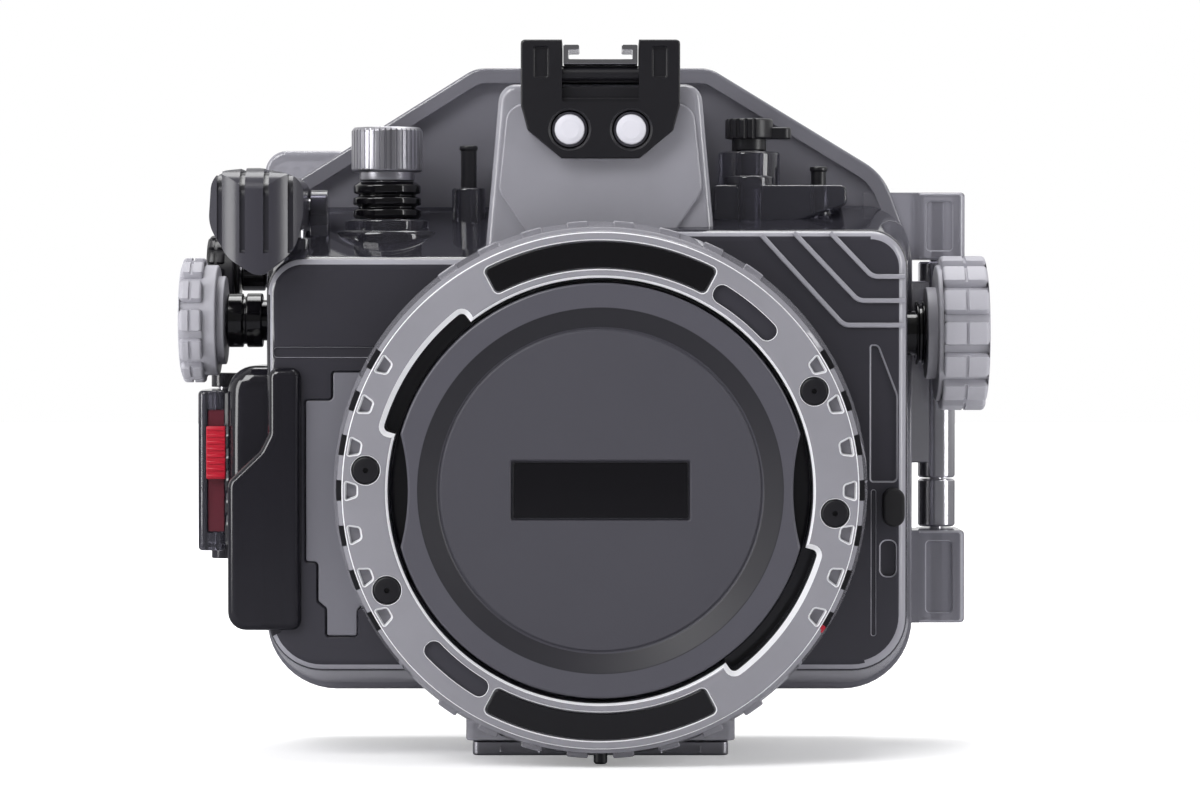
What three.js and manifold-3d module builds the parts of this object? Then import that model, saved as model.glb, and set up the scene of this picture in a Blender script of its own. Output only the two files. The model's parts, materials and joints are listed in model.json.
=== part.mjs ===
// Underwater camera housing: a smoked polycarbonate case with a bayonet port, a hinged rear door,
// sealed dials, levers and push buttons. Millimetres, +Z up. The front faces -Y.
// The origin lies on the flat underside, below the port's axis.

import * as THREE from 'three';
import { mergeVertices, toCreasedNormals } from 'three/addons/utils/BufferGeometryUtils.js';
import Module from 'manifold-3d';

const wasm = await Module();
wasm.setup();

// Fits and cutting
const gap = 0.3;          // between two pieces that touch
const shaftGap = 0.35;    // round a shaft or a push rod in its bore
const moveGap = 0.8;      // between a moving piece and what it passes
const overrun = 2;        // how far a cutting shape runs past what it cuts
const wall = 4;           // moulded wall
const sharp = 0.4;        // radius of a corner that reads as sharp

// Shares: of a lobe's or tooth's pitch that is full, of a dial's dish that its lobes reach down
const lobeShare = 0.5;
const toothShare = 0.45;
const lobeReachShare = 1.4;
const roundingShares = [[0, 1], [0.25, 0.3], [1, 0]];   // a rounded edge as [depth, inset]

// Facets round a full circle, and along a corner's fillet
const largeFacets = 56;
const midFacets = 18;
const smallFacets = 12;
const cornerFacets = 3;

// Port: the cap sits in the mount and the mount in the ring, on one axis.
// Radii run outwards from the cap's.
const cap = {
  radius: 45, flange: 3.4, rise: 0.4, bevelStep: 5.4, bevelWidth: 5, dish: 1.6, groove: 0.9,
  grooveDepth: 0.5, plugStep: 6.6, plugDepth: 9, waistRadius: 48, waistDepth: 3.3, panelWidth: 38.9,
  panelHeight: 13, panelDepth: 1.2,
};
const mount = { overCap: 0.7, wall: 4.7, lipWidth: 1.8, depth: 8, lip: 2.4, lugs: 3, lugAngle: 42 };
const capLug = { angle: 34, behind: 0.5, thick: 2, reach: 2.2 };
const mountOuter = cap.radius + mount.overCap;
const mountInner = mountOuter - mount.wall;
const capPlug = cap.radius - cap.plugStep;
const bevelOuter = cap.radius - cap.bevelStep;
const bevelInner = bevelOuter - cap.bevelWidth;

// Clear port ring with its finger notches, pads, entry gaps, labels and screws
const ring = { depth: 14.6, clear: 0.35, width: 9.95, draft: 2.6, chamfer: 1.1, rise: 1.6 };
const ringInner = mountOuter + ring.clear;
const ringFrontRadius = ringInner + ring.width;
const ringBackRadius = ringFrontRadius + ring.draft;
const portZ = ringBackRadius + ring.rise;
const notch = { count: 7, pitch: 10, outerHalf: 2.1, innerHalf: 1.3, bite: 3.1, depth: 6.4 };
const pad = { count: 8, pitch: 10, halfAngle: 2.3, height: 0.7, depth: 5, back: 3.4 };
const entry = { depth: 2.85, from: [127.5, 306], to: [164.5, 344.5] };
const label = { innerStep: 1.95, outerStep: 1.8, halfAngle: 28, depth: 1, radius: 1.2 };
const ringScrew = {
  step: 4.95, head: 2.9, headDepth: 2.2, shank: 1.3, socket: 0.7, angles: [175, 205, 25, -5.5],
};
const screwCircle = ringInner + ringScrew.step;
const labelInner = ringInner + label.innerStep;
const labelOuter = ringFrontRadius - label.outerStep;
const lockPin = { radius: 1.5, y: -43, length: 7.6, clear: 0.4, travel: 1 };

// Barrel that the port stands on
const barrel = { overRing: 5.95, collar: 1.2, collarBack: -31.5, front: -35.2, boreStep: 0.8, step: 5 };
const barrelRadius = ringInner + barrel.overRing;
const collarRadius = ringFrontRadius + barrel.collar;
const ringFrontY = barrel.front - gap - ring.depth;

// Moulded case: the front plate's outline, which widens towards the flange
const front = { leftMargin: 14.9, rightMargin: 9, bottom: 19.9, topLeft: 110.5, topRight: 116.7, y: -30 };
const frontLeft = -ringBackRadius - front.leftMargin;
const frontRight = ringBackRadius + front.rightMargin;
const frontRadius = { low: 12, high: 8 };
const frontRound = 2.4;
const flare = { left: 2.5, right: 3.2, bottom: 4.6, top: 13 };
const deckZ = front.topLeft + flare.top;
const deckStep = 3;
const chamberFloorZ = 24;

// Flange that the door closes on, seen as the outline of the whole case
const flange = { overLeft: 2.7, overRight: 3.6, bottom: 12.7, front: 9, back: 14 };
const flangeLeft = frontLeft - flange.overLeft;
const flangeRight = frontRight + flange.overRight;
const flangeShoulder = { leftZ: 124.6, rightStep: 6.7, rightZ: 130.4, sideZ: 113 };
const flangeTop = { overHump: 5.1, left: -28.5, right: 25 };
const flangeRadius = { low: 16, side: 7, top: 8 };
const rim = { width: 3.4, height: 2.6 };

// Prism hump
const hump = { bottomHalf: 26.3, topHalf: 22.3, topZ: 149.4, rootZ: 104, y: -24 };
const flangeTopZ = hump.topZ + flangeTop.overHump;
const humpRadius = 4;
const humpRound = 1.8;
const humpPanel = {
  topDrop: 4.4, kneeDrop: 23.7, kneeHalf: 22.6, footDrop: 36.4, footHalf: 14, topHalf: 20.6, rise: 1,
};

// Base block and the plate under it
const base = { halfWidth: 30, front: -20, back: 13.6, top: 17 };
const plate = { thickness: 3, edge: 1.5, thread: 3.2, threadY: -9 };
const tray = {
  halfWidth: 48, front: -18, back: 10, thickness: 2.6, radius: 4, slotHalf: 12, stopWidth: 5,
  stopHeight: 9,
};

// Shoe bracket over the hump, its steel shoe and its fibre windows
const shoe = {
  half: 17.6, footHalf: 8.6, footDrop: 16.6, kneeDrop: 10.4, hipDrop: 4.8, lean: 1.5, rise: 9.6,
  radius: 0.8, plate: 3, back: -6, notchHalf: 8.5, notchDrop: 4.1, stepDrop: 0.8, step: 1, seatRise: 4.2,
  sheet: 1.1, slot: 2.1, lip: 3.5, inset: 0.8,
};
const fibre = { x: 6.8, drop: 10.2, radius: 3.9, lens: 3.3, depth: 1.8 };
const shoeTopZ = hump.topZ + shoe.rise;
const seatZ = hump.topZ + shoe.seatRise;
const notchZ = hump.topZ - shoe.notchDrop;
const fibreZ = hump.topZ - fibre.drop;

// Grip bulge on the left side, which the latch closes over
const bulge = { proud: 7, root: 13.5, low: 27.7, underDial: 10.1, front: -20, radius: 6 };
const bulgeLeft = flangeLeft - bulge.proud;
const gripStep = {
  inset: 1, root: 7.5, high: 72, crown: 8.6, neck: 6.8, neckDrop: 3.6, kneeZ: 61.6, front: -27.2,
  radius: 4, edge: 1.6,
};

// Bosses on the deck, by the controls that pass through them
const dialBoss = { radius: 9.4, foot: 12.2, footZ: 117.2, topZ: 119.6 };
const wedge = {
  left: 25.4, right: 55.3, topZ: 127.4, endZ: 122.9, kneeX: 43.8, kneeZ: 119, front: -12, radius: 1.6,
};

// Mode dial on the deck
const modeDial = {
  inward: 25.4, y: -6, radius: 8, height: 9.8, knurls: 30, knurl: 0.35, neck: 6.2, neckHeight: 2.2,
  shaft: 2.6, cupZ: 103.5, cupHeight: 5, cupRadius: 6.2, gland: 7.7, spigot: 4.4, ribs: 3, ribDepth: 0.9,
  glandHeight: 8.2,
};
const modeDialX = frontLeft + modeDial.inward;

// Side dials: each turns about X and drives a wheel inside the chamber
const frontDial = {
  y: 0, z: 97, radius: 14.1, thickness: 8.4, hub: 10, hubLength: 1.6, lobes: 12, lobeDepth: 1.9,
  lobeLength: 4.6, gland: 6.1, spigot: 4.6, shaft: 3, faceOut: 10.2, wheelIn: 7, wheel: 6.5,
  wheelWidth: 3,
};
const bulgeHigh = frontDial.z - bulge.underDial;
const zoomDial = {
  y: 0, z: 94.1, radius: 17.5, thickness: 11.4, hub: 10.4, hubLength: 2.2, lobes: 10, lobeDepth: 2.2,
  lobeLength: 6.4, gland: 7.2, spigot: 5, shaft: 3.4, faceOut: 4.7, wheelIn: 8.1, wheel: 7, wheelWidth: 4,
  teeth: 16, tooth: 1.6,
};
const rearDial = {
  y: 24, z: 107.6, radius: 9, thickness: 6.4, hub: 6, hubLength: 1, lobes: 14, lobeDepth: 1,
  lobeLength: 3.6, gland: 3.8, spigot: 3.1, shaft: 2, faceOut: 8.2, wheelIn: 12.6, wheel: 2.5,
  wheelWidth: 2,
};

// Power lever on the right of the deck
const power = {
  x: 33.6, y: -3, boss: 7, bossTop: 135, radius: 5.4, height: 4.6, hubRadius: 3.9, hubHeight: 2.6,
  shaft: 2.2, tip: 9.5, tipRadius: 1.8, armZ: 105, armHeight: 3, arm: 5.4,
};

// Push posts, straight through the deck
const leftPost = {
  x: -29.9, y: 1, radius: 1.8, cap: 2.1, capHeight: 1.2, topZ: 136.6, bossRadius: 3.8, bossTop: 127,
};
const rightPost = {
  x: 49.4, y: -1, radius: 1.7, cap: 2, capHeight: 1, topZ: 131.8, bossRadius: 3, bossTop: 127.6,
};
const post = { footZ: 106, foot: 3, footHeight: 1.4 };

// Shutter lever at the top left corner, and the plunger that it presses
const lever = {
  outward: 12.7, inward: 8.1, tipStep: 1.9, top: 130.6, tipZ: 106.2, shoulderZ: 127.4, waistZ: 116.6,
  front: -37.6, thick: 5, back: -4.4, roofBottom: 118, grooves: 4, grooveWidth: 1, grooveDepth: 0.9,
  grooveLow: 112, radius: 5, tipRadius: 1.6,
};
const leverLeft = frontLeft - lever.outward;
const leverRight = frontLeft + lever.inward;
const leverTip = frontLeft - lever.tipStep;
const leverPivot = { y: -8.6, z: 122.4, radius: 2, hub: 4, earWidth: 4, ear: 3.9, earFoot: 108 };
const plunger = {
  inward: 6.1, y: -19, radius: 1.8, boss: 3.8, bossTop: 115.4, footZ: 102, foot: 2.4, footHeight: 1.6,
};
const plungerX = frontLeft + plunger.inward;

// Hinge at the right edge
const hinge = {
  out: 6.8, y: 24, pin: 1.6, barrel: 4.3, ear: 5.4, earFront: 8.2, root: 7.6, leafThick: 2, leafFoot: 4.4,
  lowBottom: 27.7, lowTop: 48.9, highBottom: 110.8, highTop: 126.2, joint: 60.2, leafLow: 64,
  leafHigh: 106,
};
const hingeX = flangeRight + hinge.out;

// Rear door
const door = {
  plate: 5.8, raise: 11, edge: 5, edgeRound: 1.6, recessEdge: 10, recessBack: 12.6, sealWidth: 2,
  sealInset: 1.3, seal: 1.7, windowThick: 1.4, ledge: 2.6,
};
const doorFront = flange.back + gap;
const doorPlateBack = doorFront + door.plate;
const doorBack = doorPlateBack + door.raise;
const screen = { left: -22, right: 57, low: 33, high: 97, radius: 3 };
const finder = {
  half: 19, low: 119, drop: 3.9, depth: 9, windowHalf: 11, windowLow: 126, windowHigh: 142, radius: 4,
};
const finderHigh = flangeTopZ - finder.drop;
const thumb = { outward: 1.1, inward: 20.2, low: 113, high: 136, front: 17, back: 28, radius: 5 };
const thumbLeft = flangeLeft - thumb.outward;

// Push buttons on the door, seen from the front as [name, x, z]
const button = {
  cap: 4.2, capHeight: 3.2, stem: 1.8, inner: 5.6, clip: 2.8, clipHeight: 0.8, collar: 6.1,
  collarHeight: 1.6, well: 3.4, travel: 2, dome: 0.6,
};
const padX = -47;
const padZ = 61;
const padReach = 11.4;
const farReach = 12.6;
const rowStep = 25;
const topRowZ = 107;
const menuInward = 23.2;
const menuX = flangeRight - menuInward;
const buttonPlaces = [
  ['ok_button', padX, padZ],
  ['left_arrow_button', padX + padReach, padZ],
  ['right_arrow_button', padX - padReach, padZ],
  ['up_arrow_button', padX, padZ + padReach],
  ['down_arrow_button', padX, padZ - padReach],
  ['info_button', padX + farReach, padZ + rowStep],
  ['lock_button', padX - farReach, padZ + rowStep],
  ['play_button', padX + farReach, padZ - rowStep],
  ['delete_button', padX - farReach, padZ - rowStep],
  ['menu_button', menuX, topRowZ],
];

// Latch on the left side: it turns on the door and closes over the grip bulge
const latch = {
  out: 10.6, y: 19.6, hub: 3.1, pin: 1.5, low: 45.5, high: 81.3, outer: 14.8, inner: 7.8, front: -16.4,
  bow: 1, earHeight: 3.2, ear: 3.1, trackWidth: 3.4, trackDepth: 1,
};
const latchX = flangeLeft - latch.out;
const latchOuter = flangeLeft - latch.outer;
const latchInner = flangeLeft - latch.inner;
const lock = { low: 61.6, high: 73.4, proud: 1.5, ridges: 6, ridge: 0.6, foot: 0.7 };

// Plug on the right of the front plate
const sidePlug = { inset: 0.6, width: 4.8, low: 51.6, high: 60.1, rise: 2.6 };
const plugRight = frontRight - sidePlug.inset;
const plugLeft = plugRight - sidePlug.width;

// Looks
const smoked = { color: 0x3b3a42, roughness: 0.25, metalness: 0 };
const clear = { color: 0x9a99a1, roughness: 0.12, metalness: 0 };
const black = { color: 0x14131a, roughness: 0.4, metalness: 0 };
const glossBlack = { color: 0x111016, roughness: 0.15, metalness: 0 };
const capGrey = { color: 0x48474f, roughness: 0.6, metalness: 0 };
const knobGrey = { color: 0x9b9aa2, roughness: 0.55, metalness: 0 };
const dialGrey = { color: 0x79787d, roughness: 0.35, metalness: 0.8 };
const steel = { color: 0xc8c8cc, roughness: 0.25, metalness: 1 };
const rubber = { color: 0x18171a, roughness: 0.8, metalness: 0 };
const white = { color: 0xe6e6ea, roughness: 0.4, metalness: 0 };
const red = { color: 0xc2182f, roughness: 0.4, metalness: 0 };
const glass = { color: 0xaeb4ba, roughness: 0.05, metalness: 0 };

const degrees = THREE.MathUtils.degToRad;
const fullTurn = 2 * Math.PI;
const quarter = fullTurn / 4;

// Closed mesh to solid, with its faces turned outwards

function toSolid(geometry) {
  const bare = geometry.clone();
  bare.deleteAttribute('normal');
  bare.deleteAttribute('uv');
  const merged = mergeVertices(bare);
  const corners = merged.index.array;
  const points = merged.attributes.position.array;
  const faces = [];
  let volume = 0;
  for (let i = 0; i < corners.length; i += 3) {
    const [a, b, c] = [corners[i], corners[i + 1], corners[i + 2]];
    if (a === b || b === c || c === a) continue;
    faces.push([a, b, c]);
    const [p, q, r] = [a, b, c].map((k) => new THREE.Vector3().fromArray(points, k * 3));
    volume += p.dot(q.cross(r));
  }
  const turned = volume < 0 ? faces.map(([a, b, c]) => [a, c, b]) : faces;
  return new wasm.Manifold(new wasm.Mesh({
    numProp: 3,
    vertProperties: new Float32Array(points),
    triVerts: new Uint32Array(turned.flat()),
  }));
}

function toGeometry(solid) {
  const { vertProperties, triVerts } = solid.getMesh();
  const geometry = new THREE.BufferGeometry();
  geometry.setAttribute('position', new THREE.BufferAttribute(vertProperties, 3));
  geometry.setIndex(new THREE.BufferAttribute(triVerts, 1));
  return toCreasedNormals(geometry, degrees(30));
}

const join = (...solids) => solids.reduce((a, b) => a.add(b));
const cut = (solid, ...tools) => tools.reduce((a, b) => a.subtract(b), solid);

function piece(name, solid, look) {
  const mesh = new THREE.Mesh(toGeometry(solid), new THREE.MeshStandardMaterial(look));
  mesh.name = name;
  return mesh;
}

// Outlines

// Closed outline with filleted corners. A corner is [x, y, radius].
function outline(corners, facets = cornerFacets, sharpFacets = 1) {
  const points = [];
  corners.forEach(([x, y, radius], i) => {
    const before = corners[(i + corners.length - 1) % corners.length];
    const after = corners[(i + 1) % corners.length];
    const here = new THREE.Vector2(x, y);
    const back = new THREE.Vector2(before[0], before[1]).sub(here);
    const on = new THREE.Vector2(after[0], after[1]).sub(here);
    const room = Math.min(back.length(), on.length()) / 2;
    back.normalize();
    on.normalize();
    const half = Math.acos(THREE.MathUtils.clamp(back.dot(on), -1, 1)) / 2;
    const r = Math.min(radius, room * Math.tan(half));
    const middle = back.clone().add(on).normalize().multiplyScalar(r / Math.sin(half)).add(here);
    const start = back.clone().multiplyScalar(r / Math.tan(half)).add(here).sub(middle);
    const end = on.clone().multiplyScalar(r / Math.tan(half)).add(here).sub(middle);
    const sweep = Math.atan2(start.x * end.y - start.y * end.x, start.dot(end));
    const steps = radius > sharp ? facets : sharpFacets;
    for (let k = 0; k <= steps; k += 1) {
      points.push(start.clone().rotateAround(new THREE.Vector2(), sweep * k / steps).add(middle));
    }
  });
  return points;
}

// The same number of points at every corner, as a loft needs
const evenOutline = (corners) => outline(corners, cornerFacets, cornerFacets);

// The same corners with every side moved inwards; a negative distance moves them out
function inset(corners, distance) {
  const turn = Math.sign(THREE.ShapeUtils.area(corners.map(([x, y]) => new THREE.Vector2(x, y))));
  return corners.map(([x, y, radius], i) => {
    const before = corners[(i + corners.length - 1) % corners.length];
    const after = corners[(i + 1) % corners.length];
    const come = new THREE.Vector2(x - before[0], y - before[1]).normalize();
    const go = new THREE.Vector2(after[0] - x, after[1] - y).normalize();
    const inward = new THREE.Vector2(-come.y - go.y, come.x + go.x).multiplyScalar(turn);
    const reach = distance * 2 / inward.lengthSq();
    const convex = (come.x * go.y - come.y * go.x) * turn > 0;
    const newRadius = Math.max(radius + (convex ? -distance : distance), sharp);
    return [x + inward.x * reach, y + inward.y * reach, newRadius];
  });
}

const rectangle = (x0, x1, y0, y1, radius = sharp) => [
  [x0, y0, radius], [x1, y0, radius], [x1, y1, radius], [x0, y1, radius],
];

// Part of a ring, seen along its axis, with its corners cut off. Angles are in degrees.
function arcBand(inner, outer, from, to, corner, facets = cornerFacets) {
  const points = [];
  const steps = Math.max(facets, Math.round((to - from) * largeFacets / 360));
  const polar = (r, angle) => new THREE.Vector2(r * Math.cos(angle), r * Math.sin(angle));
  const arc = (r, start, end) => {
    for (let k = 0; k <= steps; k += 1) points.push(polar(r, start + (end - start) * k / steps));
  };
  arc(outer, degrees(from) + corner / outer, degrees(to) - corner / outer);
  points.push(polar(outer - corner, degrees(to)), polar(inner + corner, degrees(to)));
  arc(inner, degrees(to) - corner / inner, degrees(from) + corner / inner);
  points.push(polar(inner + corner, degrees(from)), polar(outer - corner, degrees(from)));
  return points;
}

// Outline of a knob with lobes: full radius on the lobes, less between them
function lobes(radius, depth, count, share, facets = 2) {
  const points = [];
  for (let i = 0; i < count; i += 1) {
    const middle = fullTurn * i / count;
    const reach = fullTurn / count;
    for (let k = 0; k <= facets; k += 1) {
      const angle = middle + reach * share * (k / facets - 0.5);
      points.push(new THREE.Vector2(radius * Math.cos(angle), radius * Math.sin(angle)));
    }
    for (let k = 1; k < facets; k += 1) {
      const angle = middle + reach * (share / 2 + (1 - share) * k / facets);
      const low = radius - depth;
      points.push(new THREE.Vector2(low * Math.cos(angle), low * Math.sin(angle)));
    }
  }
  return points;
}

// Solids from outlines. An outline for Y is read as (x, z), one for X as (y, z).

const alongY = new THREE.Matrix4().makeRotationX(quarter);
const alongX = new THREE.Matrix4().makeBasis(
  new THREE.Vector3(0, 1, 0), new THREE.Vector3(0, 0, 1), new THREE.Vector3(1, 0, 0),
);

function slab(points, depth) {
  return new THREE.ExtrudeGeometry(new THREE.Shape(points), { depth, bevelEnabled: false });
}

const plateZ = (points, z0, z1) => toSolid(slab(points, z1 - z0).translate(0, 0, z0));
const plateY = (points, y0, y1) => toSolid(slab(points, y1 - y0).applyMatrix4(alongY).translate(0, y1, 0));
const plateX = (points, x0, x1) => toSolid(slab(points, x1 - x0).applyMatrix4(alongX).translate(x0, 0, 0));

const block = (x0, x1, y0, y1, z0, z1) => toSolid(
  new THREE.BoxGeometry(x1 - x0, y1 - y0, z1 - z0).translate((x0 + x1) / 2, (y0 + y1) / 2, (z0 + z1) / 2),
);

function rod(radius, from, to, facets) {
  return new THREE.CylinderGeometry(radius, radius, to - from, facets).translate(0, (from + to) / 2, 0);
}

const rodY = (radius, from, to, x, z, facets = midFacets) => (
  toSolid(rod(radius, from, to, facets).translate(x, 0, z))
);
const rodX = (radius, from, to, y, z, facets = midFacets) => (
  toSolid(rod(radius, from, to, facets).rotateZ(-quarter).translate(0, y, z))
);
const rodZ = (radius, from, to, x, y, facets = midFacets) => (
  toSolid(rod(radius, from, to, facets).rotateX(quarter).translate(x, y, 0))
);

// Revolved closed profile of [radius, height] points about the Y axis
function spun(profile, facets = midFacets) {
  const points = [...profile, profile[0]].map(([r, h]) => new THREE.Vector2(r, h));
  return new THREE.LatheGeometry(points, facets);
}

const spunY = (profile, x, z, facets) => toSolid(spun(profile, facets).translate(x, 0, z));
const spunX = (profile, facets) => toSolid(spun(profile, facets).rotateZ(-quarter));
const spunZ = (profile, facets) => toSolid(spun(profile, facets).rotateX(quarter));

// Skin through sections of [y, outline], each outline with the same number of (x, z) points
function loft(sections) {
  const count = sections[0][1].length;
  const positions = sections.flatMap(([y, points]) => points.flatMap((p) => [p.x, y, p.y]));
  const faces = [];
  for (let s = 0; s + 1 < sections.length; s += 1) {
    for (let i = 0; i < count; i += 1) {
      const [a, b] = [s * count + i, s * count + (i + 1) % count];
      faces.push(a, a + count, b, b, a + count, b + count);
    }
  }
  const last = (sections.length - 1) * count;
  THREE.ShapeUtils.triangulateShape(sections[0][1], []).forEach(([a, b, c]) => faces.push(a, b, c));
  const lid = sections[sections.length - 1][1];
  const lidFaces = THREE.ShapeUtils.triangulateShape(lid, []);
  lidFaces.forEach(([a, b, c]) => faces.push(last + a, last + c, last + b));
  const geometry = new THREE.BufferGeometry();
  geometry.setAttribute('position', new THREE.Float32BufferAttribute(positions, 3));
  geometry.setIndex(faces);
  return toSolid(geometry);
}

// Case outlines

const frontCorners = [
  [frontLeft, front.bottom, frontRadius.low],
  [frontRight, front.bottom, frontRadius.low],
  [frontRight, front.topRight, frontRadius.high],
  [deckStep, front.topRight, sharp],
  [-deckStep, front.topLeft, sharp],
  [frontLeft, front.topLeft, frontRadius.high],
];

const rearCorners = [
  [frontLeft - flare.left, front.bottom - flare.bottom, frontRadius.low + flare.left],
  [frontRight + flare.right, front.bottom - flare.bottom, frontRadius.low + flare.right],
  [frontRight + flare.right, deckZ, frontRadius.high + flare.right],
  [deckStep, deckZ, sharp],
  [-deckStep, deckZ - sharp, sharp],
  [frontLeft - flare.left, deckZ, frontRadius.high],
];

const flangeCorners = [
  [flangeLeft, flange.bottom, flangeRadius.low],
  [flangeRight, flange.bottom, flangeRadius.low],
  [flangeRight, flangeShoulder.sideZ, flangeRadius.side * 2],
  [flangeRight - flangeShoulder.rightStep, flangeShoulder.rightZ, flangeRadius.side * 2],
  [flangeTop.right, flangeTopZ, flangeRadius.top],
  [flangeTop.left, flangeTopZ, flangeRadius.top],
  [flangeLeft, flangeShoulder.leftZ, flangeRadius.side],
];

// Corners part of the way from the front plate's outline to the flange's, by depth
function cornersAt(y, from = frontCorners, to = rearCorners) {
  const share = (y - front.y) / (flange.front - front.y);
  return from.map((corner, i) => corner.map((value, k) => value + (to[i][k] - value) * share));
}

function caseBody() {
  const sections = roundingShares.map(([deep, less]) => {
    const y = front.y + frontRound * deep;
    return [y, evenOutline(inset(cornersAt(y), frontRound * less))];
  });
  sections.push([flange.front + overrun, evenOutline(rearCorners)]);
  return loft(sections);
}

function chamber() {
  const low = [chamberFloorZ, chamberFloorZ];
  const innerAt = (y) => inset(cornersAt(y), wall).map(([x, z, r], i) => [x, i < 2 ? low[i] : z, r]);
  const from = front.y + wall;
  const to = flange.back + overrun;
  return loft([[from, evenOutline(innerAt(from))], [flange.front, evenOutline(innerAt(flange.front))],
    [to, evenOutline(innerAt(flange.front))]]);
}

function humpCorners(less) {
  return inset([
    [-hump.bottomHalf, hump.rootZ, sharp],
    [hump.bottomHalf, hump.rootZ, sharp],
    [hump.topHalf, hump.topZ, humpRadius],
    [-hump.topHalf, hump.topZ, humpRadius],
  ], less);
}

function humpBody() {
  const sections = roundingShares.map(([deep, less]) => (
    [hump.y + humpRound * deep, evenOutline(humpCorners(humpRound * less))]
  ));
  sections.push([flange.front + overrun, evenOutline(humpCorners(0))]);
  const panel = outline([
    [-humpPanel.footHalf, hump.topZ - humpPanel.footDrop, sharp],
    [humpPanel.footHalf, hump.topZ - humpPanel.footDrop, sharp],
    [humpPanel.kneeHalf, hump.topZ - humpPanel.kneeDrop, humpRadius],
    [humpPanel.topHalf, hump.topZ - humpPanel.topDrop, humpRadius],
    [-humpPanel.topHalf, hump.topZ - humpPanel.topDrop, humpRadius],
    [-humpPanel.kneeHalf, hump.topZ - humpPanel.kneeDrop, humpRadius],
  ]);
  return join(loft(sections), plateY(panel, hump.y - humpPanel.rise, hump.y + humpRound));
}

const humpHollow = () => plateY(outline(humpCorners(wall)), hump.y + wall, flange.back + overrun);

function flangeBody() {
  const rimBand = cut(
    plateY(outline(flangeCorners), flange.front - rim.height, flange.back),
    plateY(outline(inset(flangeCorners, rim.width)), flange.front - rim.height - overrun,
      flange.back + overrun),
  );
  return join(plateY(outline(inset(flangeCorners, sharp)), flange.front, flange.back), rimBand);
}

function barrelBody() {
  return join(
    rodY(barrelRadius, barrel.collarBack, flange.front + overrun, 0, portZ, largeFacets),
    rodY(collarRadius, barrel.front, barrel.collarBack + gap, 0, portZ, largeFacets),
  );
}

function barrelHollow() {
  const deep = barrelRadius - wall;
  return join(
    rodY(mountInner - barrel.boreStep, barrel.front - overrun, front.y + overrun, 0, portZ, largeFacets),
    rodY(deep, barrel.front + barrel.step, front.y + wall + overrun, 0, portZ, largeFacets),
  );
}

// Port ring: clear, with finger notches at the sides, pads above and below, and two entry gaps

function portRing() {
  const back = barrel.front - gap;
  let solid = spunY([
    [ringInner, back],
    [ringInner, ringFrontY + ring.chamfer],
    [ringInner + ring.chamfer, ringFrontY],
    [ringFrontRadius - ring.chamfer, ringFrontY],
    [ringFrontRadius, ringFrontY + ring.chamfer],
    [ringBackRadius, back],
  ], 0, portZ, largeFacets);
  for (const side of [0, 180]) {
    for (let i = 0; i < notch.count; i += 1) {
      const angle = side + notch.pitch * (i - (notch.count - 1) / 2);
      solid = solid.subtract(fingerNotch(angle));
    }
  }
  entry.from.forEach((from, i) => {
    const gate = arcBand(ringInner - overrun, ringInner + entry.depth, from, entry.to[i], sharp);
    solid = solid.subtract(aboutPort(gate, ringFrontY - overrun, back + overrun));
  });
  for (const middle of [90, 270]) {
    const window = arcBand(labelInner, labelOuter, middle - label.halfAngle, middle + label.halfAngle,
      label.radius);
    solid = solid.subtract(aboutPort(window, ringFrontY - overrun, ringFrontY + label.depth));
  }
  for (const angle of ringScrew.angles) {
    const [x, z] = onCircle(screwCircle, angle);
    solid = cut(
      solid,
      rodY(ringScrew.head + gap, ringFrontY - overrun, screwHeadBack + gap, x, z, smallFacets),
      rodY(ringScrew.shank + gap, ringFrontY, back + overrun, x, z, smallFacets),
    );
  }
  const pads = [90, 270].flatMap((middle) => Array.from({ length: pad.count }, (_, i) => {
    const angle = middle + pad.pitch * (i - (pad.count - 1) / 2);
    const band = arcBand(ringBackRadius - pad.height * 3, ringBackRadius, angle - pad.halfAngle,
      angle + pad.halfAngle, sharp, 1);
    return aboutPort(band, back - pad.back - pad.depth, back - pad.back);
  }));
  const pinTop = lockPin.clear + lockPin.length + lockPin.travel;
  const pinHole = rodZ(lockPin.radius + shaftGap, 0, pinTop + gap, 0, lockPin.y, smallFacets);
  return cut(join(solid, ...pads), pinHole);
}

function onCircle(radius, angle) {
  return [radius * Math.cos(degrees(angle)), portZ + radius * Math.sin(degrees(angle))];
}

const screwHeadBack = ringFrontY + ringScrew.headDepth;

// Outline about the port's axis, as a plate
function aboutPort(points, y0, y1) {
  return plateY(points.map((p) => new THREE.Vector2(p.x, p.y + portZ)), y0, y1);
}

function fingerNotch(angle) {
  const reach = ringBackRadius + overrun;
  const corners = [
    [ringFrontRadius - notch.bite, -notch.innerHalf, sharp], [reach, -notch.outerHalf, sharp],
    [reach, notch.outerHalf, sharp], [ringFrontRadius - notch.bite, notch.innerHalf, sharp],
  ];
  const points = outline(corners, 1).map((p) => p.rotateAround(new THREE.Vector2(), degrees(angle)));
  return aboutPort(points, ringFrontY - overrun, ringFrontY + notch.depth);
}

function ringScrewBody() {
  const shankEnd = barrel.front + wall - gap;
  return cut(
    join(
      rodY(ringScrew.head, ringFrontY, screwHeadBack, 0, 0, smallFacets),
      rodY(ringScrew.shank, screwHeadBack - sharp, shankEnd, 0, 0, smallFacets),
    ),
    rodY(ringScrew.socket, ringFrontY - overrun, ringFrontY + ringScrew.headDepth / 2, 0, 0, 6),
  );
}

function labelPlate(middle) {
  const half = label.halfAngle - THREE.MathUtils.radToDeg(gap / labelInner);
  const band = arcBand(labelInner + gap, labelOuter - gap, middle - half, middle + half, label.radius);
  return aboutPort(band, ringFrontY + sharp / 2, ringFrontY + label.depth - gap / 2);
}

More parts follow.
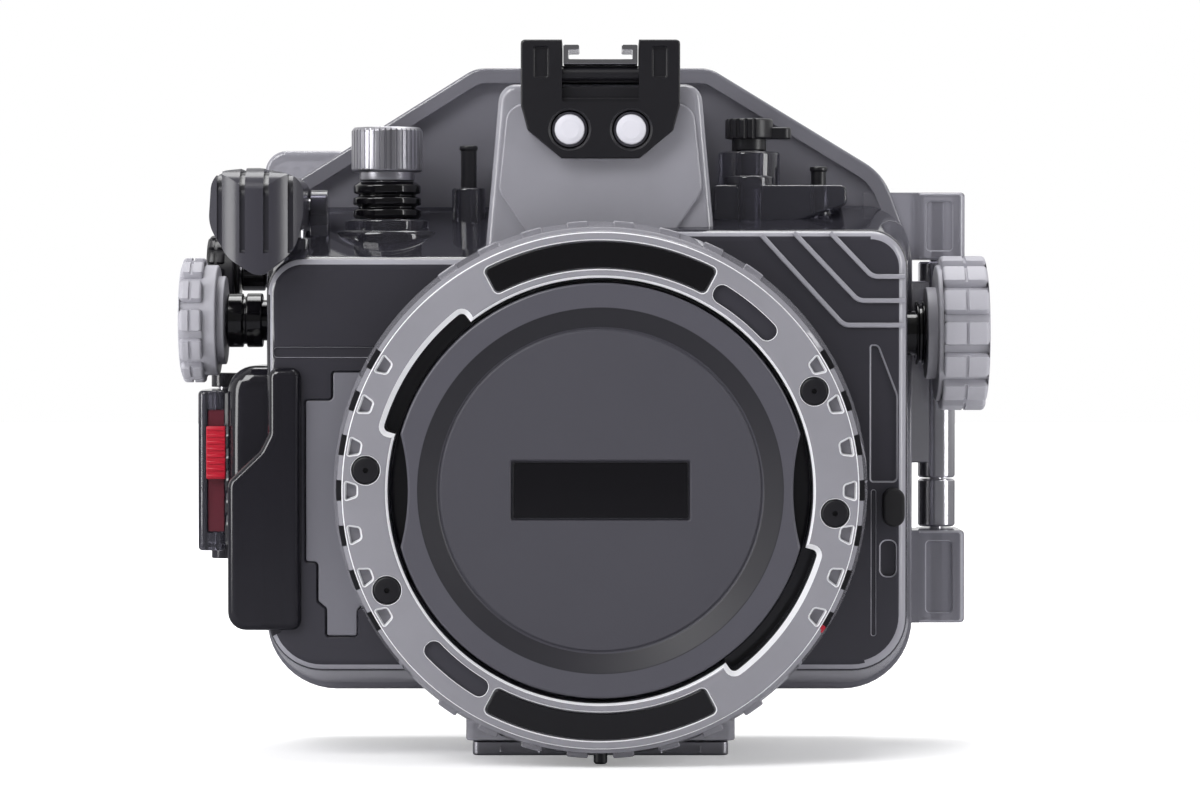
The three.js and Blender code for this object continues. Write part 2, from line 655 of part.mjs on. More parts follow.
function portMount() {
  const back = barrel.front - gap;
  const frontY = back - mount.depth;
  const body = spunY([
    [mountInner, back], [mountInner, frontY + mount.lip], [mountInner, frontY],
    [mountOuter - ring.chamfer, frontY], [mountOuter, frontY + ring.chamfer], [mountOuter, back],
  ], 0, portZ, largeFacets);
  const lugs = Array.from({ length: mount.lugs }, (_, i) => {
    const angle = 90 + i * 360 / mount.lugs;
    const band = arcBand(mountInner - mount.lipWidth, mountInner + sharp, angle - mount.lugAngle / 2,
      angle + mount.lugAngle / 2, sharp);
    return aboutPort(band, frontY, frontY + mount.lip);
  });
  return join(body, ...lugs);
}

// Port cap: a flange with two finger waists, a dished face and a plug with bayonet lugs

function portCap() {
  const frontY = ringFrontY + cap.rise;
  const dishY = frontY + cap.dish;
  const flangeBack = frontY + cap.flange;
  const plugBack = flangeBack + cap.plugDepth;
  let solid = spunY([
    [0, plugBack], [capPlug - wall, plugBack], [capPlug, plugBack - cap.dish], [capPlug, flangeBack],
    [cap.radius, flangeBack], [cap.radius, frontY + sharp], [cap.radius - sharp, frontY],
    [bevelOuter, frontY], [bevelInner + cap.groove, dishY],
    [bevelInner + cap.groove / 2, dishY + cap.grooveDepth], [bevelInner, dishY], [0, dishY],
  ], 0, 0, largeFacets);
  for (const side of [-1, 1]) {
    const x = side * (cap.radius - cap.waistDepth + cap.waistRadius);
    solid = solid.subtract(rodY(cap.waistRadius, frontY - overrun, flangeBack, x, 0, largeFacets));
  }
  const [w, h] = [cap.panelWidth / 2, cap.panelHeight / 2];
  const panel = plateY(outline(rectangle(-w, w, -h, h)), dishY - overrun, dishY + cap.panelDepth);
  return join(cut(solid, panel), ...capLugs());
}

// Bayonet lugs on the cap's plug, which turn in behind the mount's
function capLugs() {
  const y0 = barrel.front - gap - mount.depth + mount.lip + capLug.behind;
  return Array.from({ length: mount.lugs }, (_, i) => {
    const angle = 90 + i * 360 / mount.lugs;
    const band = arcBand(capPlug - sharp, capPlug + capLug.reach, angle - capLug.angle / 2,
      angle + capLug.angle / 2, sharp);
    return plateY(band, y0, y0 + capLug.thick);
  });
}

const lockPinBody = () => spunZ([
  [0, 0], [lockPin.radius - sharp, 0], [lockPin.radius, sharp], [lockPin.radius, lockPin.length],
  [0, lockPin.length],
], smallFacets);

// Base plate with the tripod thread, and the tray that holds the camera

function basePlate() {
  const edge = base.halfWidth - plate.edge;
  const body = plateZ(outline(rectangle(-edge, edge, base.front, base.back, plate.edge)), 0,
    plate.thickness);
  return cut(body, rodZ(plate.thread, -overrun, plate.thickness + overrun, 0, plate.threadY, smallFacets));
}

function cameraTray() {
  const z0 = chamberFloorZ + gap;
  const shape = outline(rectangle(-tray.halfWidth, tray.halfWidth, tray.front, tray.back, tray.radius));
  const floor = plateZ(shape, z0, z0 + tray.thickness);
  const slot = plateZ(outline(rectangle(-tray.slotHalf, tray.slotHalf, plate.threadY - plate.thread,
    plate.threadY + plate.thread, plate.thread)), z0 - overrun, z0 + tray.thickness + overrun);
  const stops = [-1, 1].map((side) => {
    const x = side * (tray.halfWidth - tray.stopWidth);
    return block(x - tray.stopWidth / 2, x + tray.stopWidth / 2, tray.front, tray.front + tray.thickness,
      z0, z0 + tray.stopHeight);
  });
  return cut(join(floor, ...stops), slot);
}

// Shoe bracket over the hump, with its steel accessory shoe and two fibre windows

function shoeBracket() {
  const frontY = hump.y - humpPanel.rise - gap - shoe.plate;
  const skirtBack = hump.y - humpPanel.rise - gap;
  const baseZ = hump.topZ + gap;
  const side = [
    [-shoe.footHalf, hump.topZ - shoe.footDrop, sharp], [shoe.footHalf, hump.topZ - shoe.footDrop, sharp],
    [shoe.half - shoe.lean, hump.topZ - shoe.kneeDrop, sharp * 2],
    [shoe.half, hump.topZ - shoe.hipDrop, sharp * 2],
    [shoe.half, shoeTopZ, shoe.radius], [-shoe.half, shoeTopZ, shoe.radius],
    [-shoe.half, hump.topZ - shoe.hipDrop, sharp * 2],
    [-(shoe.half - shoe.lean), hump.topZ - shoe.kneeDrop, sharp * 2],
  ];
  const skirt = plateY(outline(side), frontY, skirtBack);
  const top = block(-shoe.half, shoe.half, skirtBack - sharp, shoe.back, baseZ, shoeTopZ);
  const channel = block(-shoe.notchHalf, shoe.notchHalf, frontY - overrun, shoe.back + overrun,
    seatZ - gap, shoeTopZ + overrun);
  const notchCut = block(-shoe.notchHalf, shoe.notchHalf, frontY - overrun, skirtBack, notchZ, shoeTopZ);
  const step = block(-shoe.notchHalf - sharp, shoe.notchHalf + sharp, skirtBack - shoe.step, skirtBack,
    notchZ - sharp, hump.topZ - shoe.stepDrop);
  const holes = [-1, 1].map((s) => (
    rodY(fibre.radius + gap, frontY - overrun, frontY + fibre.depth + gap, s * fibre.x, fibreZ, smallFacets)
  ));
  return cut(join(cut(join(skirt, top), channel, notchCut), step), ...holes);
}

function coldShoe() {
  const half = shoe.notchHalf - gap;
  const [z0, z1] = [seatZ, seatZ + shoe.sheet];
  const profile = [
    [-half, z0, sharp / 2], [half, z0, sharp / 2], [half, z1 + shoe.slot + shoe.sheet, sharp / 2],
    [half - shoe.lip, z1 + shoe.slot + shoe.sheet, sharp / 2], [half - shoe.lip, z1 + shoe.slot, sharp / 2],
    [half - shoe.sheet, z1 + shoe.slot, sharp / 2], [half - shoe.sheet, z1, sharp / 2],
    [-half + shoe.sheet, z1, sharp / 2], [-half + shoe.sheet, z1 + shoe.slot, sharp / 2],
    [-half + shoe.lip, z1 + shoe.slot, sharp / 2],
    [-half + shoe.lip, z1 + shoe.slot + shoe.sheet, sharp / 2],
    [-half, z1 + shoe.slot + shoe.sheet, sharp / 2],
  ];
  const frontY = hump.y - humpPanel.rise - gap - shoe.plate;
  return plateY(outline(profile, 1), frontY + shoe.inset, shoe.back - shoe.inset);
}

const fibreWindow = () => spunY([
  [0, 0], [fibre.lens, 0], [fibre.radius, fibre.depth / 2], [fibre.radius, fibre.depth], [0, fibre.depth],
], 0, 0, smallFacets);

// Bosses, ears and bores of the front shell

function gripBulge() {
  const shape = rectangle(bulgeLeft, frontLeft + bulge.root, bulge.low, bulgeHigh, bulge.radius);
  const bulgeAt = (less) => evenOutline(inset(shape, less));
  const sections = roundingShares.map(([deep, less]) => [bulge.front + wall * deep, bulgeAt(wall * less)]);
  return join(loft([...sections, [flange.front + sharp, bulgeAt(0)]]), gripStepBody());
}

// Raised lower part of the grip, cut away at an angle towards the latch's lock
function gripStepBody() {
  const left = bulgeLeft + gripStep.inset;
  const low = bulge.low + gripStep.inset;
  const right = frontLeft + gripStep.root;
  const shape = [
    [left, low, gripStep.radius], [right, low, sharp], [right, gripStep.high, sharp],
    [left + gripStep.crown, gripStep.high, gripStep.edge],
    [left + gripStep.neck, gripStep.high - gripStep.neckDrop, gripStep.edge],
    [left, gripStep.kneeZ, gripStep.edge],
  ];
  const sections = roundingShares.map(([deep, less]) => (
    [gripStep.front + gripStep.edge * deep, evenOutline(inset(shape, gripStep.edge * less))]
  ));
  return loft([...sections, [bulge.front + wall + overrun, evenOutline(shape)]]);
}

function deckBosses() {
  const foot = front.topLeft - wall;
  const wedgeShape = outline([
    [wedge.left, foot, sharp], [wedge.kneeX, foot, sharp], [wedge.kneeX, wedge.kneeZ, sharp],
    [wedge.right, wedge.endZ, wedge.radius], [wedge.right, wedge.topZ, wedge.radius],
    [wedge.left, wedge.topZ, sharp],
  ], 3);
  return [
    rodZ(dialBoss.foot, foot, dialBoss.footZ, modeDialX, modeDial.y),
    rodZ(dialBoss.radius, foot, dialBoss.topZ, modeDialX, modeDial.y),
    plateY(wedgeShape, wedge.front, flange.front + sharp),
    rodZ(power.boss, foot, power.bossTop, power.x, power.y),
    rodZ(leftPost.bossRadius, foot, leftPost.bossTop, leftPost.x, leftPost.y, smallFacets),
    rodZ(rightPost.bossRadius, foot, rightPost.bossTop, rightPost.x, rightPost.y, smallFacets),
    rodZ(plunger.boss, foot, plunger.bossTop, plungerX, plunger.y, smallFacets),
    plateX(outline([
      [leverPivot.y - leverPivot.ear, leverPivot.earFoot, sharp],
      [leverPivot.y + leverPivot.ear, leverPivot.earFoot, sharp],
      [leverPivot.y + leverPivot.ear, leverPivot.z + leverPivot.ear, leverPivot.ear],
      [leverPivot.y - leverPivot.ear, leverPivot.z + leverPivot.ear, leverPivot.ear],
    ], 6), leverRight + gap, leverRight + gap + leverPivot.earWidth),
  ];
}

function hingeEars() {
  return [[hinge.lowBottom, hinge.lowTop], [hinge.highBottom, hinge.highTop]].flatMap(([z0, z1]) => {
    const inner = flangeRight + gap;
    const arm = rectangle(inner, hingeX + hinge.ear, hinge.earFront, hinge.y, hinge.pin);
    const root = rectangle(frontRight - hinge.root, inner + overrun, hinge.earFront, flange.back - gap);
    return [
      plateZ(outline(arm), z0, z1),
      plateZ(outline(root), z0, z1),
      rodZ(hinge.ear, z0, z1, hingeX, hinge.y),
    ];
  });
}

function shellBores() {
  const foot = front.topLeft - wall - overrun;
  const high = flangeTopZ;
  const through = (radius, x, y) => rodZ(radius, foot, high, x, y, smallFacets);
  return [
    through(modeDial.spigot + shaftGap, modeDialX, modeDial.y),
    through(power.shaft + shaftGap, power.x, power.y),
    through(leftPost.radius + shaftGap, leftPost.x, leftPost.y),
    through(rightPost.radius + shaftGap, rightPost.x, rightPost.y),
    rodZ(plunger.radius + shaftGap, foot - wall, high, plungerX, plunger.y, smallFacets),
    rodZ(modeDial.gland + moveGap, dialBoss.topZ, high, modeDialX, modeDial.y),
    rodX(frontDial.spigot + shaftGap, bulgeLeft, frontLeft + wall * 2, frontDial.y, frontDial.z),
    rodX(zoomDial.spigot + shaftGap, frontRight - wall * 2, flangeRight + overrun, zoomDial.y, zoomDial.z),
    rodX(leverPivot.radius + gap, leverRight - overrun, leverRight + leverPivot.earWidth - gap,
      leverPivot.y, leverPivot.z, smallFacets),
    rodZ(hinge.pin + gap, hinge.lowBottom - overrun, hinge.highTop - hinge.pin, hingeX, hinge.y,
      smallFacets),
    ...ringScrew.angles.map((angle) => {
      const [x, z] = onCircle(screwCircle, angle);
      return rodY(ringScrew.shank + gap, barrel.front - overrun, barrel.front + wall, x, z, smallFacets);
    }),
  ];
}

// Sealed glands round the shafts. Heights run outwards from the seat.

function gland(size, headLength, spigotLength, ribs = 0, ribDepth = 0) {
  const bore = size.shaft + shaftGap;
  const profile = [[bore, -spigotLength], [size.spigot, -spigotLength], [size.spigot, 0]];
  profile.push([size.gland - sharp, 0], [size.gland, sharp]);
  const step = headLength / Math.max(ribs, 1);
  for (let i = 1; i < ribs; i += 1) {
    const middle = step * i;
    profile.push([size.gland, middle - ribDepth / 2], [size.gland - ribDepth, middle - ribDepth / 4]);
    profile.push([size.gland - ribDepth, middle + ribDepth / 4], [size.gland, middle + ribDepth / 2]);
  }
  profile.push([size.gland, headLength - sharp], [size.gland - sharp, headLength], [bore, headLength]);
  return profile;
}

// Side dial: a lobed grip on a plain disc, with a hub towards the case. Outwards is +X.
function sideKnob(size) {
  const discEnd = size.thickness - size.lobeLength;
  const plain = size.radius - size.lobeDepth;
  const body = spunX([
    [0, -size.hubLength], [size.hub, -size.hubLength], [size.hub, 0], [plain, 0], [plain + sharp, sharp],
    [plain + sharp, discEnd], [plain - sharp, size.thickness - sharp], [plain - sharp * 4, size.thickness],
    [0, size.thickness],
  ], midFacets);
  const grip = plateX(lobes(size.radius, size.lobeDepth * lobeReachShare, size.lobes, lobeShare),
    discEnd - sharp, size.thickness - sharp);
  const dish = spunX([
    [0, size.thickness - size.lobeDepth], [size.hub - sharp, size.thickness - size.lobeDepth],
    [size.hub + size.lobeDepth - sharp, size.thickness + sharp], [0, size.thickness + sharp],
  ], midFacets);
  const bore = spunX([
    [0, -size.hubLength - overrun], [size.shaft + gap, -size.hubLength - overrun],
    [size.shaft + gap, size.thickness / 2 + gap], [0, size.thickness / 2 + gap],
  ], smallFacets);
  return cut(join(body, grip), dish, bore);
}

// Shaft of a side dial, from the middle of its knob to the wheel inside
function sideShaft(size, faceX, wheelX) {
  const tip = faceX + size.thickness / 2;
  const shaft = rodX(size.shaft, wheelX, tip, 0, 0, smallFacets);
  const wheelEnd = wheelX + size.wheelWidth;
  if (size.teeth) {
    return join(shaft, plateX(lobes(size.wheel, size.tooth, size.teeth, toothShare), wheelX, wheelEnd));
  }
  return join(shaft, spunX([
    [0, wheelX], [size.wheel - sharp, wheelX], [size.wheel, wheelX + sharp],
    [size.wheel, wheelEnd - sharp], [size.wheel - sharp, wheelEnd], [0, wheelEnd],
  ], smallFacets));
}

function modeKnob() {
  const z0 = modeDial.neckHeight;
  const grip = plateZ(lobes(modeDial.radius, modeDial.knurl, modeDial.knurls, lobeShare, 1), z0,
    z0 + modeDial.height - sharp);
  const plain = modeDial.radius - modeDial.knurl;
  const body = spunZ([
    [0, 0], [modeDial.neck, 0], [modeDial.neck, z0 - sharp], [plain - sharp, z0 - sharp], [plain, z0],
    [plain, z0 + modeDial.height - sharp * 2], [plain - sharp * 2, z0 + modeDial.height],
    [0, z0 + modeDial.height],
  ]);
  const bore = rodZ(modeDial.shaft + gap, -overrun, z0 + modeDial.height / 2 + gap, 0, 0, smallFacets);
  return cut(join(grip, body), bore);
}

const glandTopZ = dialBoss.topZ + gap + modeDial.glandHeight;

function modeShaft() {
  const top = glandTopZ + gap + modeDial.neckHeight + modeDial.height / 2;
  const cup = spunZ([
    [modeDial.shaft - sharp, modeDial.cupZ + modeDial.cupHeight / 2],
    [modeDial.cupRadius - modeDial.shaft / 2, modeDial.cupZ], [modeDial.cupRadius, modeDial.cupZ],
    [modeDial.cupRadius, modeDial.cupZ + modeDial.cupHeight],
    [modeDial.shaft - sharp, modeDial.cupZ + modeDial.cupHeight],
  ], smallFacets);
  return join(cup, rodZ(modeDial.shaft, modeDial.cupZ + modeDial.cupHeight / 2, top, 0, 0, smallFacets));
}

function powerKnob() {
  const z0 = power.hubHeight;
  const tip = outline([
    [0, -power.tipRadius, sharp], [power.tip, -power.tipRadius, power.tipRadius],
    [power.tip, power.tipRadius, power.tipRadius], [0, power.tipRadius, sharp],
  ], 4);
  const body = join(
    rodZ(power.hubRadius, 0, z0 + sharp, 0, 0, smallFacets),
    spunZ([
      [0, z0], [power.radius, z0], [power.radius, z0 + power.height - sharp],
      [power.radius - sharp, z0 + power.height], [0, z0 + power.height],
    ], smallFacets),
    plateZ(tip, z0, z0 + power.height / 2),
  );
  return cut(body, rodZ(power.shaft + gap, -overrun, z0 + power.height / 2 + gap, 0, 0, smallFacets));
}

function powerShaft() {
  const top = power.bossTop + gap + power.hubHeight + power.height / 2;
  const arm = outline(rectangle(-power.shaft, power.arm, -power.shaft, power.shaft, power.shaft), 3);
  return join(
    rodZ(power.shaft, power.armZ, top, 0, 0, smallFacets),
    plateZ(arm, power.armZ, power.armZ + power.armHeight),
  );
}

function pushPost(size) {
  return spunZ([
    [0, post.footZ], [post.foot, post.footZ], [post.foot, post.footZ + post.footHeight],
    [size.radius, post.footZ + post.footHeight], [size.radius, size.topZ - size.capHeight],
    [size.cap, size.topZ - size.capHeight + sharp], [size.cap, size.topZ - sharp / 2],
    [size.cap - sharp / 2, size.topZ], [0, size.topZ],
  ], smallFacets);
}

// Shutter lever: a ribbed pad in front, a roof back to the pivot

function shutterLever() {
  const inner = lever.front + lever.thick;
  const side = plateX(outline([
    [lever.front, lever.tipZ - overrun, sharp], [inner, lever.tipZ - overrun, sharp],
    [inner, lever.roofBottom, lever.radius / 2], [leverPivot.y - leverPivot.hub, lever.roofBottom, sharp],
    [leverPivot.y + leverPivot.hub, leverPivot.z - leverPivot.hub, leverPivot.hub],
    [leverPivot.y + leverPivot.hub, lever.shoulderZ, leverPivot.hub],
    [leverPivot.y, lever.top, lever.radius],
    [inner, lever.top, lever.radius * 2], [lever.front, lever.shoulderZ, lever.radius * 2],
  ]), leverLeft - overrun, leverRight + overrun);
  const face = plateY(outline([
    [leverTip, lever.tipZ, lever.tipRadius], [leverRight, lever.waistZ, lever.radius],
    [leverRight, lever.shoulderZ + sharp, lever.radius], [leverTip, lever.top + sharp, lever.radius * 2],
    [leverLeft + sharp, lever.top - sharp, lever.radius], [leverLeft, lever.waistZ - sharp, lever.radius],
  ]), lever.front - overrun, lever.back + overrun);
  const span = leverRight - leverLeft;
  const grooves = Array.from({ length: lever.grooves }, (_, i) => {
    const x = leverLeft + span * (i + 0.5) / lever.grooves;
    const half = lever.grooveWidth / 2;
    return plateX(outline([
      [lever.front - overrun, lever.grooveLow, sharp],
      [lever.front + lever.grooveDepth, lever.grooveLow, sharp],
      [lever.front + lever.grooveDepth, lever.shoulderZ - lever.grooveDepth, lever.radius],
      [inner, lever.top - lever.grooveDepth, lever.radius],
      [leverPivot.y, lever.top - lever.grooveDepth, sharp],
      [leverPivot.y, lever.top + overrun, sharp], [lever.front - overrun, lever.top + overrun, sharp],
    ], 3), x - half, x + half);
  });
  const bore = rodX(leverPivot.radius + shaftGap, leverLeft + wall / 2, leverRight + overrun, leverPivot.y,
    leverPivot.z, smallFacets);
  return cut(side.intersect(face), ...grooves, bore);
}

const leverPin = () => rodX(leverPivot.radius, leverLeft + wall / 2 + gap,
  leverRight + leverPivot.earWidth - gap * 2, leverPivot.y, leverPivot.z, smallFacets);

const plungerBody = () => spunZ([
  [0, plunger.footZ], [plunger.foot, plunger.footZ], [plunger.foot, plunger.footZ + plunger.footHeight],
  [plunger.radius, plunger.footZ + plunger.footHeight],
  [plunger.radius, lever.roofBottom - gap - sharp * 2],
  [plunger.radius - sharp * 2, lever.roofBottom - gap - sharp / 4], [0, lever.roofBottom - gap],
], smallFacets);

// Rear door

function doorRecess() {
  const corners = inset(flangeCorners, door.recessEdge);
  return plateY(outline(corners), doorFront - overrun, doorFront + door.recessBack);
}

function windowCuts(size, back, depth) {
  const hole = rectangle(size.left, size.right, size.low, size.high, size.radius);
  const seat = inset(hole, -door.ledge);
  return [
    plateY(outline(hole), back - depth - overrun, back + overrun),
    plateY(outline(seat), back - door.windowThick, back + overrun),
  ];
}

const finderBack = doorBack + finder.depth;
const finderWindow = {
  left: -finder.windowHalf, right: finder.windowHalf, low: finder.windowLow, high: finder.windowHigh,
  radius: screen.radius,
};

function windowPane(size, back) {
  const pane = inset(rectangle(size.left, size.right, size.low, size.high, size.radius), gap - door.ledge);
  return plateY(outline(pane), back - door.windowThick + gap / 2, back);
}

const sealOuter = () => inset(flangeCorners, door.sealInset);
const sealInner = () => inset(flangeCorners, door.sealInset + door.sealWidth);

function doorSeal() {
  const back = doorFront + door.seal - gap;
  const band = plateY(outline(inset(sealOuter(), gap)), doorFront - gap / 2, back);
  return cut(band, plateY(outline(inset(sealInner(), -gap)), doorFront - overrun, back + overrun));
}

function rearDoor() {
  const raised = (less) => evenOutline(inset(flangeCorners, door.edge + less));
  const rounding = roundingShares.toReversed().map(([deep, less]) => (
    [doorBack - door.edgeRound * deep, raised(door.edgeRound * less)]
  ));
  const finderShape = rectangle(-finder.half, finder.half, finder.low, finderHigh, finder.radius);
  const finderBlock = (less) => evenOutline(inset(finderShape, less));
  const hood = loft([
    [doorPlateBack, finderBlock(0)], [finderBack - door.edgeRound, finderBlock(0)],
      [finderBack, finderBlock(sharp * 3)],
  ]);
  const thumbShape = rectangle(thumbLeft, flangeLeft + thumb.inward, thumb.low, thumb.high, thumb.radius);
  const thumbRest = plateY(outline(thumbShape), thumb.front, thumb.back);
  const ears = [
    [latch.low - gap - latch.earHeight, latch.low - gap],
    [latch.high + gap, latch.high + gap + latch.earHeight],
  ];
  const latchEars = ears.map(([z0, z1]) => join(
    plateZ(outline([
      [latchX, latch.y - latch.ear, sharp], [flangeLeft + wall, latch.y - latch.ear, sharp],
      [flangeLeft + wall, latch.y + latch.ear, sharp], [latchX, latch.y + latch.ear, sharp],
    ], 1), z0, z1),
    rodZ(latch.ear, z0, z1, latchX, latch.y, smallFacets),
  ));
  const collars = buttonPlaces.map(([, x, z]) => (
    rodY(button.collar, doorBack - sharp, doorBack + button.collarHeight, x, z, smallFacets)
  ));
  const outside = join(
    plateY(outline(flangeCorners), doorFront, doorPlateBack),
    loft([[doorPlateBack - sharp, raised(0)], ...rounding]),
    hood, thumbRest, ...latchEars, ...collars,
  );
  const groove = cut(
    plateY(outline(sealOuter()), doorFront - overrun, doorFront + door.seal),
    plateY(outline(sealInner()), doorFront - overrun * 2, doorFront + door.seal + overrun),
  );
  const hollow = rectangle(-finder.half + wall, finder.half - wall, finder.low - wall,
    finderHigh - wall - sharp, sharp);
  const finderHollow = plateY(outline(hollow), doorFront - overrun, finderBack - wall);
  const bores = buttonPlaces.flatMap(([, x, z]) => [
    rodY(button.stem + shaftGap, doorFront, doorBack + overrun, x, z, smallFacets),
    rodY(button.cap + gap, doorBack + button.collarHeight - button.well, doorBack + overrun * 2, x, z,
      smallFacets),
  ]);
  const dialBore = rodX(rearDial.spigot + shaftGap, thumbLeft, flangeLeft + door.recessEdge + overrun,
    rearDial.y, rearDial.z, smallFacets);
  const pinBore = rodZ(latch.pin + gap, latch.low - wall - overrun, latch.high + wall + overrun,
    latchX, latch.y, smallFacets);
  return cut(outside, doorRecess(), groove, finderHollow, ...windowCuts(screen, doorBack, wall * 2),
    ...windowCuts(finderWindow, finderBack, wall * 2), ...bores, dialBore, pinBore);
}

// Push button: outwards is +Y from the bottom of its cap
function pushButton() {
  const wallBack = doorFront + door.recessBack;
  const capBottom = doorBack + button.collarHeight - button.well + button.travel + gap;
  const inner = wallBack - button.inner;
  return spunY([
    [0, inner], [button.stem, inner], [button.stem, wallBack - gap - button.clipHeight],
    [button.clip, wallBack - gap - button.clipHeight], [button.clip, wallBack - gap],
    [button.stem, wallBack - gap], [button.stem, capBottom], [button.cap, capBottom],
    [button.cap, capBottom + button.capHeight - button.dome],
    [button.cap - button.dome * 2, capBottom + button.capHeight],
    [0, capBottom + button.capHeight],
  ], 0, 0, smallFacets);
}

// Hinge: a long pin through the shell's ears, with the door's steel leaf between them

const hingePin = () => rodZ(hinge.pin, hinge.lowBottom, hinge.highTop - hinge.pin - gap, hingeX, hinge.y,
  smallFacets);

function hingeBarrel(z0, z1) {
  return cut(
    rodZ(hinge.barrel, z0, z1, hingeX, hinge.y, smallFacets),
    rodZ(hinge.pin + shaftGap, z0 - overrun, z1 + overrun, hingeX, hinge.y, smallFacets),
  );
}

function hingeLeaf() {
  const y0 = doorPlateBack + gap / 2;
  const shape = outline(rectangle(flangeRight - hinge.leafFoot, hingeX, hinge.leafLow, hinge.leafHigh,
    sharp));
  const leaf = plateY(shape, y0, y0 + hinge.leafThick);
  const pinRoom = rodZ(hinge.pin + shaftGap, hinge.joint, hinge.highBottom, hingeX, hinge.y, smallFacets);
  return cut(join(hingeBarrel(hinge.joint + gap, hinge.highBottom - gap), leaf), pinRoom);
}

// Latch: a bowed clear plate on the door's side pin, with a red lock in its front edge

function latchPlate() {
  const bowed = latchOuter + latch.bow;
  const shape = outline([
    [latchInner, latch.front, sharp], [latchInner, latch.y - latch.hub * 2, latch.hub],
    [latchX, latch.y - latch.hub, sharp], [latchX, latch.y + latch.hub, latch.hub],
    [bowed, latch.y + latch.hub, latch.hub], [latchOuter, (latch.front + latch.y) / 2, latch.hub * 2],
    [bowed, latch.front, latch.hub / 2],
  ], 6);
  const hub = rodZ(latch.hub, latch.low, latch.high, latchX, latch.y, smallFacets);
  const body = join(plateZ(shape, latch.low, latch.high), hub);
  const bore = rodZ(latch.pin + shaftGap, latch.low - overrun, latch.high + overrun, latchX, latch.y,
    smallFacets);
  const trackX = latchInner - sharp - latch.trackWidth;
  const track = block(trackX, trackX + latch.trackWidth, latch.front - overrun,
    latch.front + latch.trackDepth, latch.low + wall, latch.high - wall);
  return cut(body, bore, track);
}

const latchPin = () => rodZ(latch.pin, latch.low - latch.earHeight, latch.high + latch.earHeight,
  latchX, latch.y, smallFacets);

function latchLock() {
  const right = latchInner - sharp - gap;
  const left = right - latch.trackWidth + gap * 2;
  const back = latch.front + latch.trackDepth - gap;
  const face = latch.front - lock.proud;
  const foot = block(left, right, latch.front - gap, back, lock.low, lock.high);
  const body = block(left - lock.foot, right, face, latch.front - gap, lock.low, lock.high);
  const pitch = (lock.high - lock.low) / lock.ridges;
  const cuts = Array.from({ length: lock.ridges - 1 }, (_, i) => {
    const z = lock.low + pitch * (i + 1);
    return block(left - overrun, right + overrun, face - overrun, face + lock.ridge, z - pitch / 4,
      z + pitch / 4);
  });
  return cut(join(foot, body), ...cuts);
}

const plugBody = () => plateY(outline(rectangle(plugLeft, plugRight, sidePlug.low, sidePlug.high,
  (plugRight - plugLeft) / 2)), front.y - gap - sidePlug.rise, front.y - gap);

function frontShell() {
  const outside = join(caseBody(), humpBody(), flangeBody(), barrelBody(), gripBulge(), ...deckBosses(),
    ...hingeEars());
  const seat = block(-base.halfWidth, base.halfWidth, base.front, base.back, plate.thickness + gap,
    base.top);
  return cut(join(outside, seat), chamber(), humpHollow(), barrelHollow(), ...shellBores());
}

// A group whose contents sit in place at a point, turned about Z
function at(position, contents, turn = 0) {
  const group = new THREE.Group();
  group.position.set(...position);
  group.rotation.z = turn;
  group.add(...contents);
  return group;
}

// Side dial: knob, shaft and gland share the axis. The left-hand ones face the other way.
function sideDial(name, size, look, seatX, edgeX, wheelEdgeX, left) {
  const faceX = edgeX + size.faceOut;
  const headLength = faceX - size.hubLength - gap - seatX;
  const knob = piece(`${name}_knob`, sideKnob(size), look);
  knob.position.x = faceX;
  const sleeve = piece(`${name}_gland`, spunX(gland(size, headLength, wall)), glossBlack);
  sleeve.position.x = seatX;
  const turn = left ? Math.PI : 0;
  const shaft = piece(`${name}_shaft`, sideShaft(size, faceX, wheelEdgeX - size.wheelIn), steel);
  return at([0, size.y, size.z], [knob, shaft, sleeve], turn);
}

// Assembly

const housing = new THREE.Group();
housing.name = 'underwater_camera_housing';

const fixed = [
  piece('front_shell', frontShell(), smoked),
  piece('port_ring', portRing(), clear),
  piece('port_mount', portMount(), black),
  piece('label_plate_top', labelPlate(90), black),
  piece('label_plate_bottom', labelPlate(270), black),
  piece('base_plate', basePlate(), steel),
  piece('camera_tray', cameraTray(), black),
  piece('shoe_bracket', shoeBracket(), black),
  piece('cold_shoe', coldShoe(), steel),
  piece('lever_pin', leverPin(), steel),
  piece('hinge_pin', hingePin(), steel),
  piece('hinge_barrel', hingeBarrel(hinge.lowTop + gap, hinge.joint), steel),
  piece('side_plug', plugBody(), black),
];
housing.add(...fixed);

ringScrew.angles.forEach((angle, i) => {
  const screw = piece(`ring_screw_${i + 1}`, ringScrewBody(), black);
  const [x, z] = onCircle(screwCircle, angle);
  screw.position.set(x, 0, z);
  housing.add(screw);
});

for (const [name, side] of [['left', -1], ['right', 1]]) {
  const lens = piece(`fibre_window_${name}`, fibreWindow(), white);
  lens.position.set(side * fibre.x, hump.y - humpPanel.rise - gap - shoe.plate, fibreZ);
  housing.add(lens);
}

const capMesh = piece('port_cap', portCap(), capGrey);
capMesh.position.z = portZ;
const pin = piece('lock_pin', lockPinBody(), black);
pin.position.set(0, lockPin.y, lockPin.clear);
housing.add(capMesh, pin);

const modeGland = piece('mode_dial_gland', spunZ(gland(modeDial, modeDial.glandHeight, wall, modeDial.ribs,
  modeDial.ribDepth)), glossBlack);
modeGland.position.z = dialBoss.topZ + gap;
const modeTop = piece('mode_dial_knob', modeKnob(), dialGrey);
modeTop.position.z = glandTopZ + gap;
housing.add(at([modeDialX, modeDial.y, 0], [modeGland, modeTop,
  piece('mode_dial_shaft', modeShaft(), steel)]));

housing.add(
  sideDial('front_dial', frontDial, knobGrey, gap - flangeLeft, -flangeLeft, -frontLeft, true),
  sideDial('zoom_dial', zoomDial, knobGrey, flangeRight + gap, flangeRight, frontRight, false),
);

